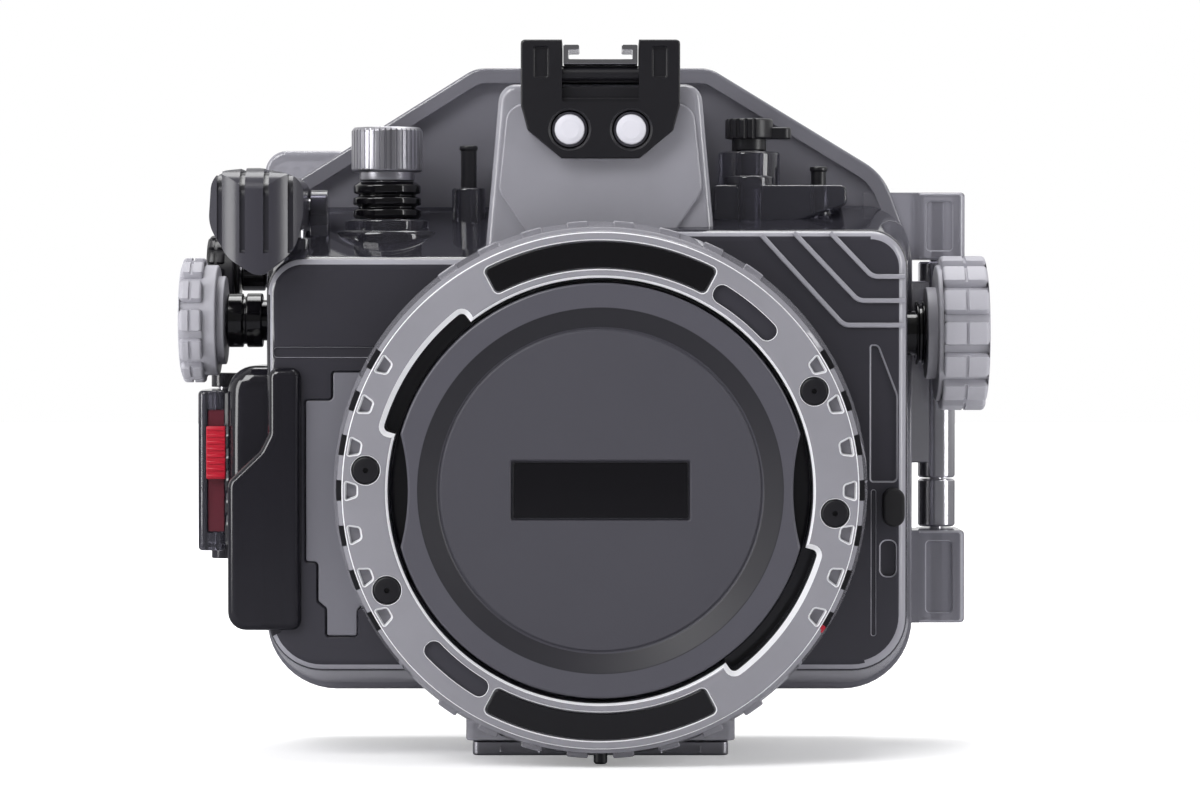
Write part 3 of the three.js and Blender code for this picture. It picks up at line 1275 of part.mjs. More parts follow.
const powerTop = piece('power_lever', powerKnob(), black);
powerTop.position.z = power.bossTop + gap;
housing.add(at([power.x, power.y, 0], [powerTop, piece('power_lever_shaft', powerShaft(), steel)]));

housing.add(at([leftPost.x, leftPost.y, 0], [piece('left_push_post', pushPost(leftPost), black)]));
housing.add(at([rightPost.x, rightPost.y, 0], [piece('right_push_post', pushPost(rightPost), black)]));
housing.add(piece('shutter_lever', shutterLever(), capGrey));
housing.add(at([plungerX, plunger.y, 0], [piece('shutter_plunger', plungerBody(), steel)]));

const doorGroup = new THREE.Group();
doorGroup.add(
  piece('rear_door', rearDoor(), smoked),
  piece('door_seal', doorSeal(), rubber),
  piece('screen_window', windowPane(screen, doorBack), glass),
  piece('finder_window', windowPane(finderWindow, finderBack), glass),
  piece('hinge_leaf', hingeLeaf(), steel),
  piece('latch_pin', latchPin(), steel),
  sideDial('rear_dial', rearDial, black, gap - flangeLeft - door.edge, -flangeLeft, -flangeLeft, true),
);
for (const [name, x, z] of buttonPlaces) {
  doorGroup.add(at([x, 0, z], [piece(name, pushButton(), black)]));
}
doorGroup.add(piece('latch', latchPlate(), clear), piece('latch_lock', latchLock(), red));
housing.add(doorGroup);

export default housing;
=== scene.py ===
import json
from math import acos, cos, pi, radians, sin, tan

import bmesh
import bpy
from mathutils import Matrix, Vector


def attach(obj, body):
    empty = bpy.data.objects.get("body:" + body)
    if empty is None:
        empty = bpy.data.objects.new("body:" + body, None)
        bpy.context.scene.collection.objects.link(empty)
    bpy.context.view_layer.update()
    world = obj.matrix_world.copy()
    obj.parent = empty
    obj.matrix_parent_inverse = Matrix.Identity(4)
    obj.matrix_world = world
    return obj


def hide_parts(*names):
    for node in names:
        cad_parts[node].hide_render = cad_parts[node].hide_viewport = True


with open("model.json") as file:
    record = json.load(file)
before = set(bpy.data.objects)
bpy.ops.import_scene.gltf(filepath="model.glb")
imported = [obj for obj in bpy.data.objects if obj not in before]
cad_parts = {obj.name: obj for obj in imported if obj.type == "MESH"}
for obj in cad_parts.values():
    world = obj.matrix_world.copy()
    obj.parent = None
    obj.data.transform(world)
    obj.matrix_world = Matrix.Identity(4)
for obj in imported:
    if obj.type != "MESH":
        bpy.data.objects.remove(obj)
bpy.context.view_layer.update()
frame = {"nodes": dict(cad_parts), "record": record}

# Underwater camera housing. Shapes are worked out in millimetres and made metres at the end.
mm = 0.001
sharpFrom = 32  # degrees between faces
scene = bpy.context.scene
nodeSlots = {part["node"]: part["material_slot"] for part in frame["record"]["subparts"]}
replacedNodes = set()


# Outlines: closed lists of (x, y) points

def fillet(corners, facets=8):  # a corner is (x, y, radius)
    points = []
    for i, (x, y, radius) in enumerate(corners):
        here = Vector((x, y))
        back = Vector(corners[i - 1][:2]) - here
        ahead = Vector(corners[(i + 1) % len(corners)][:2]) - here
        room = min(back.length, ahead.length) * 0.49
        back.normalize()
        ahead.normalize()
        half = acos(max(-1, min(1, back.dot(ahead)))) / 2
        r = min(radius, room * tan(half)) if radius > 0.01 and half < 1.55 else 0
        if r == 0:
            points.append((x, y))
            continue
        middle = here + (back + ahead).normalized() * (r / sin(half))
        start = here + back * (r / tan(half)) - middle
        end = here + ahead * (r / tan(half)) - middle
        sweep = start.angle_signed(end)  # clockwise
        for k in range(facets + 1):
            points.append(tuple(Matrix.Rotation(-sweep * k / facets, 2) @ start + middle))
    return points


def grown(points, distance):  # every side moved out, or in with a negative distance
    area = sum(a[0] * b[1] - b[0] * a[1] for a, b in zip(points, points[1:] + points[:1]))
    side = 1 if area > 0 else -1
    moved = []
    for i, (x, y) in enumerate(points):
        come = Vector((x - points[i - 1][0], y - points[i - 1][1])).normalized()
        ahead = points[(i + 1) % len(points)]
        go = Vector((ahead[0] - x, ahead[1] - y)).normalized()
        out = Vector((come.y + go.y, -come.x - go.x)) * side
        reach = 2 * distance / max(out.length_squared, 0.4)
        moved.append((x + out.x * reach, y + out.y * reach))
    return moved


def inside(corners, distance):  # corners (x, y, radius) with every side moved in
    plain = grown([(x, y) for x, y, _ in corners], -distance)
    return [(x, y, max(radius - distance, 0.3)) for (x, y), (_, _, radius) in zip(plain, corners)]


def rectangle(x0, x1, y0, y1, radius=0.0, facets=8):
    return fillet([(x0, y0, radius), (x1, y0, radius), (x1, y1, radius), (x0, y1, radius)], facets)


def circle(radius, x=0.0, y=0.0, steps=48):
    return [(x + radius * cos(2 * pi * k / steps), y + radius * sin(2 * pi * k / steps))
        for k in range(steps)]


def arcBand(inner, outer, start, end, radius, x=0.0, y=0.0):  # part of a ring, angles in degrees
    middle = (inner + outer) / 2
    ends = [radians(start) * middle, radians(end) * middle]
    flat = fillet([(ends[0], inner, radius), (ends[1], inner, radius), (ends[1], outer, radius),
        (ends[0], outer, radius)], 5)
    points = []
    for i, (along, r) in enumerate(flat):
        nextAlong, nextR = flat[(i + 1) % len(flat)]
        steps = max(1, round(abs(nextAlong - along) / middle / radians(1.5)))
        for k in range(steps):
            angle = (along + (nextAlong - along) * k / steps) / middle
            q = r + (nextR - r) * k / steps
            points.append((x + q * cos(angle), y + q * sin(angle)))
    return points


def lobes(radius, depth, count, share=0.5, perLobe=16):  # a knob's outline: rounded lobes and hollows
    points = []
    for k in range(count * perLobe):
        phase = (k / perLobe + 0.5) % 1 - 0.5
        ramp = max(0, min(1, (abs(phase) * 2 - share * 0.7) / (1 - share * 0.7) * 1.6))
        r = radius - depth * (3 * ramp * ramp - 2 * ramp ** 3)
        points.append((r * cos(2 * pi * k / count / perLobe), r * sin(2 * pi * k / count / perLobe)))
    return points


# Solids: closed meshes in millimetres, kept as loose objects until they are finished

def solid(verts, faces):
    mesh = bpy.data.meshes.new("solid")
    mesh.from_pydata(verts, [], faces)
    shape = bmesh.new()
    shape.from_mesh(mesh)
    bmesh.ops.remove_doubles(shape, verts=shape.verts, dist=1e-4)
    bmesh.ops.dissolve_degenerate(shape, edges=shape.edges, dist=1e-5)
    bmesh.ops.recalc_face_normals(shape, faces=shape.faces)
    shape.to_mesh(mesh)
    shape.free()
    made = bpy.data.objects.new("solid", mesh)
    scene.collection.objects.link(made)
    return made


def onAxis(axis, a, b, height):
    return {"X": (height, a, b), "Y": (a, height, b), "Z": (a, b, height)}[axis]


def skin(rings, axis="Y"):  # rings of (height, points), all with the same count
    count = len(rings[0][1])
    verts = [onAxis(axis, a, b, height) for height, points in rings for a, b in points]
    faces = [list(range(count)), list(range(len(verts) - count, len(verts)))[::-1]]
    for ring in range(len(rings) - 1):
        for k in range(count):
            a, b = ring * count + k, ring * count + (k + 1) % count
            faces.append([a, b, b + count, a + count])
    return solid(verts, faces)


def edgeRings(points, face, round_, inward, steps=5):  # the rings of a rounded edge, from the face
    rings = []
    for k in range(steps + 1):
        t = pi / 2 * k / steps
        rings.append((face + inward * round_ * (1 - cos(t)), grown(points, -round_ * (1 - sin(t)))))
    return rings


def slab(points, low, high, axis="Y", roundLow=0.0, roundHigh=0.0, steps=5):
    below = edgeRings(points, low, roundLow, 1, steps) if roundLow else [(low, points)]
    above = edgeRings(points, high, roundHigh, -1, steps) if roundHigh else [(high, points)]
    return skin(below + above[::-1], axis)


def pocket(points, face, depth, axis="Y", way=1, flare=0.3, floorRound=0.3, over=2):
    # cuts a recess with a chamfered mouth; way is the direction into the material
    rings = [(face - way * over, grown(points, flare)), (face, grown(points, flare)),
        (face + way * flare, points)]
    if floorRound:
        floor = edgeRings(points, face + way * depth, floorRound, -way, 4)[::-1]
        return skin(rings + floor, axis)
    return skin(rings + [(face + way * depth, points)], axis)


def lathe(profile, axis="Y", centre=(0, 0), steps=96, facets=5):  # profile: (radius, height, fillet)
    line = fillet([(p[0], p[1], p[2] if len(p) > 2 else 0) for p in profile], facets)
    verts, rows = [], []
    for r, height in line:
        if r < 1e-6:
            rows.append([len(verts)])
            verts.append(onAxis(axis, centre[0], centre[1], height))
            continue
        rows.append(list(range(len(verts), len(verts) + steps)))
        for k in range(steps):
            angle = 2 * pi * k / steps
            verts.append(onAxis(axis, centre[0] + r * cos(angle), centre[1] + r * sin(angle), height))
    faces = []
    for i, row in enumerate(rows):
        after = rows[(i + 1) % len(rows)]
        for k in range(steps):
            a, b = row[k % len(row)], row[(k + 1) % len(row)]
            c, d = after[(k + 1) % len(after)], after[k % len(after)]
            corners = list(dict.fromkeys([a, b, c, d]))
            if len(corners) > 2:
                faces.append(corners)
    return solid(verts, faces)


def rod(radius, low, high, axis="Z", centre=(0, 0), edge=0.2, steps=48):
    return lathe([(0, low), (radius, low, edge), (radius, high, edge), (0, high)], axis, centre, steps, 3)


def block(x0, x1, y0, y1, z0, z1, edge=0.3, corner=0.5):
    return slab(rectangle(x0, x1, y0, y1, corner, 4), z0, z1, "Z", edge, edge, 3)


def taken(holder):  # its mesh as it stands, with every modifier applied
    mesh = bpy.data.meshes.new_from_object(holder.evaluated_get(bpy.context.evaluated_depsgraph_get()))
    holder.modifiers.clear()
    holder.data = mesh
    return holder


def combined(base, tools, operation):
    for tool in tools:
        step = base.modifiers.new("step", "BOOLEAN")
        step.solver = "MANIFOLD"
        step.operation = operation
        step.object = tool
    taken(base)
    for tool in tools:
        bpy.data.objects.remove(tool)
    return base


def join(base, *tools):
    return combined(base, tools, "UNION")


def cut(base, *tools):
    return combined(base, tools, "DIFFERENCE")


def moved(shape, x=0.0, y=0.0, z=0.0):
    shape.data.transform(Matrix.Translation((x, y, z)))
    return shape


def turned(shape, angle, axis, about=(0, 0, 0)):  # degrees
    spot = Matrix.Translation(about)
    shape.data.transform(spot @ Matrix.Rotation(radians(angle), 4, axis) @ spot.inverted())
    return shape


def twin(shape):
    made = bpy.data.objects.new("solid", shape.data.copy())
    scene.collection.objects.link(made)
    return made


def finish(name, shape, body, slot, *nodes, material=None, zones=()):
    # the slot's own material, unless one is named; a zone is (material, test of a face's centre and normal)
    shape.name = shape.data.name = name
    shape.data.transform(Matrix.Scale(mm, 4))
    shape.data.materials.clear()
    shape.data.materials.append(material or slotMaterials[slot])
    for face in shape.data.polygons:
        face.material_index = 0
        for i, (_, test) in enumerate(zones):
            if test(face.center / mm, face.normal):
                face.material_index = i + 1
    for other, _ in zones:
        shape.data.materials.append(other)
    shape.data.shade_smooth()
    shape.data.set_sharp_from_angle(angle=radians(sharpFrom))
    weights = shape.modifiers.new("weights", "WEIGHTED_NORMAL")
    weights.keep_sharp = True
    taken(shape)
    shape.data.name = name
    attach(shape, body)
    if nodes:
        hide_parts(*nodes)
        replacedNodes.update(nodes)
    return shape


# Node trees

def addNode(tree, kind, settings=None, links=None):
    # settings: properties or input values; links: input to output; a kind without a prefix is a shader node
    made = tree.nodes.new(kind if "Node" in kind else f"ShaderNode{kind}")
    for name, value in (settings or {}).items():
        if isinstance(name, str) and name in made.bl_rna.properties:
            setattr(made, name, value)
        else:
            made.inputs[name].default_value = value
    for name, source in (links or {}).items():
        tree.links.new(source, made.inputs[name])
    return made


# Copies of one shape, each turned and moved on from the last: notches, flutes, pads, lugs and ridges
copies = bpy.data.node_groups.new("copies", "GeometryNodeTree")
for name, kind, way in (
        ("Geometry", "Geometry", "INPUT"), ("Count", "Int", "INPUT"), ("Turn", "Vector", "INPUT"),
        ("Start", "Vector", "INPUT"), ("Move", "Vector", "INPUT"), ("Centre", "Vector", "INPUT"),
        ("Geometry", "Geometry", "OUTPUT")):
    copies.interface.new_socket(name, in_out=way, socket_type=f"NodeSocket{kind}")
source = addNode(copies, "NodeGroupInput").outputs
row = addNode(copies, "GeometryNodeMeshLine", {"mode": "OFFSET"},
    {"Count": source["Count"], "Offset": source["Move"]})
index = addNode(copies, "GeometryNodeInputIndex")
step = addNode(copies, "VectorMath", {"operation": "SCALE"}, {
    "Vector": source["Turn"], "Scale": index.outputs[0]})
facing = addNode(copies, "VectorMath", {"operation": "ADD"}, {0: step.outputs[0], 1: source["Start"]})
placed = addNode(copies, "GeometryNodeInstanceOnPoints", {}, {
    "Points": row.outputs[0], "Instance": source["Geometry"], "Rotation": facing.outputs[0]})
centred = addNode(copies, "GeometryNodeTransform", {}, {
    "Geometry": placed.outputs[0], "Translation": source["Centre"]})
real = addNode(copies, "GeometryNodeRealizeInstances", {}, {"Geometry": centred.outputs[0]})
addNode(copies, "NodeGroupOutput", {}, {"Geometry": real.outputs[0]})


def repeated(shape, count, turn=(0, 0, 0), start=(0, 0, 0), move=(0, 0, 0), centre=(0, 0, 0)):  # degrees
    values = {"Count": count, "Turn": [radians(a) for a in turn], "Start": [radians(a) for a in start],
              "Move": move, "Centre": centre}
    step = shape.modifiers.new("copies", "NODES")
    step.node_group = copies
    for item in copies.interface.items_tree:
        if item.in_out == "INPUT" and item.name in values:
            step[item.identifier] = values[item.name]
    return taken(shape)


def spread(shape, spots):  # a copy at each (x, z); the shape itself goes
    made = [moved(twin(shape), x, 0, z) for x, z in spots]
    bpy.data.objects.remove(shape)
    return made


# Materials

def linear(code):  # sRGB hex to linear
    parts = [int(code[i:i + 2], 16) / 255 for i in (1, 3, 5)]
    return tuple(c / 12.92 if c <= 0.04045 else ((c + 0.055) / 1.055) ** 2.4 for c in parts) + (1,)


def surface(name, colour, roughness, settings=None, grain=None, streak=None, smudge=0.03, tone=0.06):
    # grain is (mm, depth in mm) of the moulded texture; streak is (mm, axis) of fine lines left by a tool
    made = bpy.data.materials.new(name)
    made.use_nodes = True
    tree = made.node_tree
    shader = tree.nodes["Principled BSDF"]
    for socket, value in (settings or {}).items():
        shader.inputs[socket].default_value = value
    place = addNode(tree, "TexCoord").outputs["Object"]
    cloud = addNode(tree, "TexNoise", {"Scale": 1 / (14 * mm), "Detail": 3.0}, {"Vector": place})
    shade = addNode(tree, "MapRange", {3: 1 - tone, 4: 1 + tone}, {0: cloud.outputs[0]})
    plain = addNode(tree, "HueSaturation", {"Color": linear(colour)}, {"Value": shade.outputs[0]})
    tree.links.new(plain.outputs[0], shader.inputs["Base Color"])
    wiped = addNode(tree, "TexNoise", {"Scale": 1 / (5 * mm), "Detail": 4.0, "Distortion": 0.8},
        {"Vector": place})
    rough = addNode(tree, "MapRange", {3: max(0, roughness - smudge), 4: roughness + smudge},
        {0: wiped.outputs[0]})
    tree.links.new(rough.outputs[0], shader.inputs["Roughness"])
    if grain:
        size, depth = grain
        fine = addNode(tree, "TexNoise", {"Scale": 1 / (size * mm), "Detail": 2.0}, {"Vector": place})
        bump = addNode(tree, "Bump", {"Strength": 0.6, "Distance": depth * mm}, {"Height": fine.outputs[0]})
        tree.links.new(bump.outputs[0], shader.inputs["Normal"])
    if streak:
        size, along = streak
        stretch = [1 / (size * mm)] * 3
        stretch["XYZ".index(along)] = 1 / (60 * size * mm)
        drawn = addNode(tree, "Mapping", {"Scale": stretch}, {"Vector": place})
        lines = addNode(tree, "TexNoise", {"Scale": 1.0, "Detail": 3.0}, {"Vector": drawn.outputs[0]})
        bump = addNode(tree, "Bump", {"Strength": 0.35, "Distance": 0.012 * mm}, {"Height": lines.outputs[0]})
        tree.links.new(bump.outputs[0], shader.inputs["Normal"])
    return made


def polycarbonate(name, colour, roughness, through, **rest):  # through: the share of light that passes
    return surface(name, colour, roughness, {"Transmission Weight": through, "IOR": 1.585}, **rest)


moulded = {"IOR": 1.53}  # ABS and nylon
# Polycarbonate, injection moulded and smoke tinted: dark and glossy, and light comes through its edges
smokedPolycarbonate = polycarbonate("smoked_polycarbonate", "#5c5b66", 0.05, 0.8, tone=0.05, smudge=0.02)
# The same with the black lining close behind it, on the front plate
linedPolycarbonate = polycarbonate("lined_polycarbonate", "#38373e", 0.07, 0.2, tone=0.05, smudge=0.02)
# Clear polycarbonate a wall thick over dark parts: the port ring's block
ringPolycarbonate = polycarbonate("ring_polycarbonate", "#a3a2aa", 0.06, 0.4, tone=0.09, smudge=0.03)
# The same, paler where the moulding is hollow and thin, over the prism: the paler colour there is painted
# light, standing in for light that comes through from behind
palePolycarbonate = polycarbonate("pale_polycarbonate", "#b2b1ba", 0.07, 0.45, tone=0.05, smudge=0.02)
# The same, painted lighter at the flange, the hinge knuckles and the window over the grip: painted light
paintedLightPolycarbonate = polycarbonate("painted_light_polycarbonate", "#9b9aa4", 0.06, 0.55, tone=0.08, smudge=0.02)
# Polycarbonate edges painted pale: painted highlights as pale lines on chamfers, rounded edges, raised lines
# and pocket mouths, and painted light under the flare
paintedHighlightEdge = polycarbonate("painted_highlight_edge", "#f1f1f5", 0.3, 0.25, tone=0.02)
smokedPaintedLight = polycarbonate("smoked_painted_light", "#a9a8b1", 0.22, 0.3, tone=0.03)
# The same, moulded much darker for the door
darkPolycarbonate = polycarbonate("dark_polycarbonate", "#2f2e35", 0.14, 0.35, tone=0.05)
# Polycarbonate, moulded clear: a faint milkiness, with bright edges
clearPolycarbonate = polycarbonate("clear_polycarbonate", "#dcdbe2", 0.03, 0.8, tone=0.02, smudge=0.01)
# ABS, injection moulded in a fine eroded tool: satin black
blackAbs = surface("black_abs", "#131217", 0.36, moulded, grain=(0.45, 0.03))
# Acetal, turned and polished: deep black with sharp highlights
polishedAcetal = surface("polished_acetal", "#0b0a0d", 0.08, {"IOR": 1.48, "Coat Weight": 0.3},
    streak=(0.12, "Z"), smudge=0.02)
# ABS, moulded with a matt eroded face: the port cap's slate grey
slateAbs = surface("slate_abs", "#3f3e46", 0.46, moulded, grain=(0.4, 0.035), tone=0.04)
# The same moulding, painted darker on the cap's bevel as painted shade and paler on its flange as painted
# light
slateBevelPaintedShade = surface("slate_bevel_painted_shade", "#222127", 0.4, moulded, grain=(0.4, 0.02), tone=0.04)
slateFlangePaintedLight = surface("slate_flange_painted_light", "#4b4a52", 0.3, moulded, grain=(0.4, 0.02), tone=0.05)
# ABS in a lighter grey, semi-gloss: the shutter lever
leverAbs = surface("lever_abs", "#36353c", 0.24, moulded, grain=(0.6, 0.01))
# Glass-filled nylon, moulded: matt pale grey knobs with a soft sheen
greyNylon = surface("grey_nylon", "#a9a8b0", 0.52, moulded, grain=(0.5, 0.04), tone=0.05)
# Aluminium, turned, knurled and hard anodised grey
greyAluminium = surface("grey_aluminium", "#b9b8be", 0.34, {"Metallic": 1.0}, streak=(0.15, "Z"))
# Stainless steel, turned and polished
stainlessSteel = surface("stainless_steel", "#cfced3", 0.2, {"Metallic": 1.0}, streak=(0.12, "Z"))
# Silicone rubber, moulded: matt, takes dust
siliconeRubber = surface("silicone_rubber", "#1b1a1d", 0.75, {"IOR": 1.43}, grain=(0.4, 0.04))
# Polycarbonate tinted black: the raised lower grip
blackPolycarbonate = polycarbonate("black_polycarbonate", "#1a191f", 0.12, 0.1)
# Closed-cell foam, black: it lines the inside of the front plate
blackFoam = surface("black_foam", "#0d0c0f", 0.9, {"IOR": 1.4}, tone=0.1)
# Polycarbonate tinted dark red: the track under the lock slide
redTrack = polycarbonate("red_track", "#7a3340", 0.12, 0.5)
# Opal acrylic: white windows that spread the flash
opalAcrylic = surface("opal_acrylic", "#cfced6", 0.25,
    {"IOR": 1.49, "Subsurface Weight": 0.2, "Subsurface Radius": (0.001, 0.001, 0.001)}, tone=0.01)
# ABS moulded in red: the lock slider
redAbs = surface("red_abs", "#b60f2a", 0.3, moulded, grain=(0.5, 0.015))
# Acrylic pane, polished flat
clearPane = surface("clear_pane", "#c6cacf", 0.03, {"Transmission Weight": 0.9, "IOR": 1.49}, tone=0.01,
    smudge=0.01)

slotMaterials = {
    "smoked_polycarbonate": smokedPolycarbonate, "clear_polycarbonate": clearPolycarbonate,
    "black_abs": blackAbs,
    "polished_black": polishedAcetal, "grey_abs": slateAbs, "lever_grey": leverAbs, "knob_grey": greyNylon,
    "grey_aluminium": greyAluminium, "stainless": stainlessSteel, "black_rubber": siliconeRubber,
    "white_acrylic": opalAcrylic, "red_abs": redAbs, "window": clearPane,
}
print("materials made")

# Axes that several pieces share: (x, y) of the upright ones, (y, z) of the level ones
modeAxis, powerAxis, plungerAxis = (-48.1, -6), (33.6, -3), (-67.4, -19)
leftPostAxis, rightPostAxis = (-29.9, 1), (49.4, -1)
hingeAxis, latchAxis, leverAxis = (78, 24), (-86.8, 19.6), (-8.6, 122.4)
lockAxis = (0, -43)
frontDialAxis, zoomDialAxis, rearDialAxis = (0, 97), (0, 94.1), (24, 107.6)

# Case: the front plate's outline opens towards the flange, which the door closes on
case = {"left": -73.5, "right": 67.6, "bottom": 19.9, "topLeft": 110.5, "topRight": 116.7, "front": -30,
    "low": 12, "high": 8, "round": 2.4, "flareLeft": 2.5, "flareRight": 3.2, "flareBottom": 6.4,
    "deckZ": 123.5, "floorZ": 24, "wall": 4}
flange = {"left": -76.2, "right": 71.2, "bottom": 12.7, "front": 9, "back": 14, "rim": 3.4, "rimRise": 2.6,
    "topZ": 154.5}
hump = {"bottomHalf": 26.3, "topHalf": 22.3, "topZ": 149.4, "rootZ": 104, "front": -24, "radius": 4,
    "panelRise": 1}
port = {"z": 60.2, "barrel": 52, "collar": 57.2, "collarBack": -31.5, "front": -35.2, "bore": 40.2}
portZ = port["z"]
portAxis = (0, portZ)
frontY = case["front"]


def frontOutline(share=0.0, less=0.0):
    c = case
    left, right = c["left"] - c["flareLeft"] * share, c["right"] + c["flareRight"] * share
    bottom = c["bottom"] - c["flareBottom"] * share
    top = [c[side] + (c["deckZ"] - c[side]) * share for side in ("topLeft", "topRight")]
    low, high = c["low"] + 3 * share, c["high"] + 2 * share
    corners = [(left, bottom, low), (right, bottom, low), (right, top[1], high), (3, top[1], 0),
        (-3, top[0] - 0.05, 0), (left, top[0] - 0.05, high)]
    return grown(fillet(corners, 12), -less) if less else fillet(corners, 12)


flangeCorners = [
    (flange["left"], flange["bottom"], 16), (flange["right"], flange["bottom"], 16),
    (flange["right"], 113, 14),
    (64.5, 130.4, 14), (25, flange["topZ"], 8), (-28.5, flange["topZ"], 8), (flange["left"], 124.6, 7)]


def flangeOutline(less=0.0):
    return fillet(inside(flangeCorners, less) if less else flangeCorners, 12)


def humpOutline(less=0.0):
    h = hump
    points = fillet([(-h["bottomHalf"], h["rootZ"], 0.3), (h["bottomHalf"], h["rootZ"], 0.3),
                     (h["topHalf"], h["topZ"], h["radius"]), (-h["topHalf"], h["topZ"], h["radius"])], 10)
    return grown(points, -less) if less else points


def fromFront(share):  # depth at a share of the way from the front plate to the flange
    return frontY + (flange["front"] - frontY) * share


bodyRings = []
for k in range(7):
    t = pi / 2 * k / 6
    depth = case["round"] * (1 - cos(t))
    bodyRings.append((frontY + depth, frontOutline(depth / 39, case["round"] * (1 - sin(t)))))
bodyRings.append((flange["front"] + 2, frontOutline(1)))
shell = skin(bodyRings)

humpPanel = fillet([(-14, 113, 2), (14, 113, 2), (22.6, 125.7, 4), (20.6, 145, 4), (-20.6, 145, 4),
    (-22.6, 125.7, 4)], 8)
humpSolid = join(
    slab(humpOutline(), hump["front"], 11, "Y", 1.8),
    slab(humpPanel, hump["front"] - hump["panelRise"], hump["front"] + 1.5, "Y", 0.5),
)
rimBand = cut(
    slab(flangeOutline(), flange["front"] - flange["rimRise"], flange["back"], "Y", 0.8, 0.3),
    slab(flangeOutline(flange["rim"]), 0, 20, "Y"),
)
flangeSolid = join(slab(flangeOutline(0.5), flange["front"], flange["back"] - 0.01, "Y"), rimBand)
barrelSolid = join(
    rod(port["barrel"], port["collarBack"], 11, "Y", portAxis, 0.2, 160),
    lathe([(0, port["front"]), (port["collar"], port["front"], 0.8),
        (port["collar"], port["collarBack"] + 0.3, 0.6),
           (0, port["collarBack"] + 0.3)], "Y", portAxis, 160),
)

# Grip bulge that the latch closes over; its lower half stands further forward
bulge = {"left": -83.2, "low": 27.7, "high": 86.9, "front": -20}
bulgeShape = rectangle(bulge["left"], -60, bulge["low"], bulge["high"], 6)
gripShape = fillet([(-82.2, 28.7, 4), (-66, 28.7, 2.2), (-66, 86.6, 2.2), (-73.2, 86.6, 2.2), (-73.2, 72, 2),
    (-75, 68.4, 2.4), (-82.2, 61.4, 3)], 6)
bulgeSolid = join(slab(bulgeShape, bulge["front"], 9.4, "Y", 4), slab(gripShape, -32, -14, "Y", 1.8))

# Bosses on the deck
deckFoot = 106.5
wedgeShape = fillet([(25.4, deckFoot, 0.4), (43.8, deckFoot, 0.4), (43.8, 119, 0.6), (55.3, 122.9, 1.6),
    (55.3, 127.4, 1.6), (25.4, 127.4, 0.8)], 8)
bosses = [
    rod(12.2, deckFoot, 117.2, "Z", modeAxis, 1.2, 96), rod(9.4, deckFoot, 119.6, "Z", modeAxis, 0.5, 96),
    slab(wedgeShape, -12, 9.4, "Y", 0.8), rod(7, deckFoot, 135, "Z", powerAxis, 0.7, 72),
    rod(5.6, deckFoot, 129.5, "Z", (33.6, -7), 0.7, 48),
    rod(3.8, deckFoot, 127, "Z", leftPostAxis, 0.6), rod(3, deckFoot, 127.6, "Z", rightPostAxis, 0.5),
    rod(3.8, deckFoot, 115.4, "Z", plungerAxis, 0.5),
    slab(fillet([(-12.5, 108, 0.4), (-4.7, 108, 0.4), (-4.7, 126.3, 3.9), (-12.5, 126.3, 3.9)], 10), -65.1,
        -61.1, "X", 0.3, 0.3),
]

# Ears that carry the hinge pin
earY = 8.2
for low, high in ((27.7, 48.9), (110.8, 126.2)):
    bosses.append(slab(rectangle(71.5, 83.4, earY, 24, 1.6), low, high, "Z", 0.9, 0.9))
    bosses.append(slab(rectangle(60, 73.2, earY, 13.7, 0.4), low, high, "Z", 0.4, 0.4))
    bosses.append(rod(5.4, low, high, "Z", hingeAxis, 0.9, 64))

# Seat of the base plate
seat = slab(rectangle(-30, 30, -20, 13.6, 2), 3.3, 17, "Z", 0.5)
shell = join(shell, humpSolid, flangeSolid, barrelSolid, bulgeSolid, seat, *bosses)

# Inside: chamber, hump, barrel and the bores
chamberRings = []
for share in (4 / 39, 1, 46 / 39):
    outline = frontOutline(min(share, 1), case["wall"])
    chamberRings.append((fromFront(share), [(x, max(z, case["floorZ"])) for x, z in outline]))
chamber = skin(chamberRings)
hollows = [
    slab(humpOutline(case["wall"]), hump["front"] + case["wall"], 16),
    rod(port["bore"], -38, -28, "Y", portAxis, 0, 160),
    rod(port["barrel"] - 4, port["front"] + 5, -24, "Y", portAxis, 0.5, 160),
    *[rod(radius, 98, 150, "Z", axis, 0) for radius, axis in (
        (4.75, modeAxis), (2.55, powerAxis), (2.15, leftPostAxis), (2.05, rightPostAxis),
        (2.15, plungerAxis))],
    rod(8.5, 119.6, 150, "Z", modeAxis, 0, 96),
    rod(4.95, -84, -65.5, "X", frontDialAxis, 0), rod(5.35, 59.6, 73.2, "X", zoomDialAxis, 0),
    rod(2.3, -67.4, -61.7, "X", leverAxis, 0),
    rod(1.9, 25.7, 124.6, "Z", hingeAxis, 0),
]
screwAngles = (175, 205, 25, -5.5)


def onPort(radius, angle):
    return radius * cos(radians(angle)), portZ + radius * sin(radians(angle))


for angle in screwAngles:
    hollows.append(rod(1.6, -37.2, -31.2, "Y", onPort(51, angle), 0))
shell = cut(shell, chamber, *hollows)
print("shell cut", len(shell.data.polygons))

# Raised lines of the moulding on the front plate's right shoulder
shoulder = {"ribWidth": 1.1, "rise": 0.7}


def rib(path, faceY, width, rise):  # a raised line along (x, z) points
    halves = []
    for i, here in enumerate(path):
        come = Vector(here) - Vector(path[max(i - 1, 0)])
        go = Vector(path[min(i + 1, len(path) - 1)]) - Vector(here)
        along = (come.normalized() + go.normalized()).normalized()
        narrow = cos(come.angle(go, 0) / 2) if come.length and go.length else 1
        halves.append((Vector(here), Vector((-along.y, along.x)) * width / 2 / max(0.5, narrow)))
    outline = [tuple(p + side) for p, side in halves] + [tuple(p - side) for p, side in reversed(halves)]
    return slab(outline, faceY - rise, faceY + 0.4, "Y", width * 0.3, 0, 3)


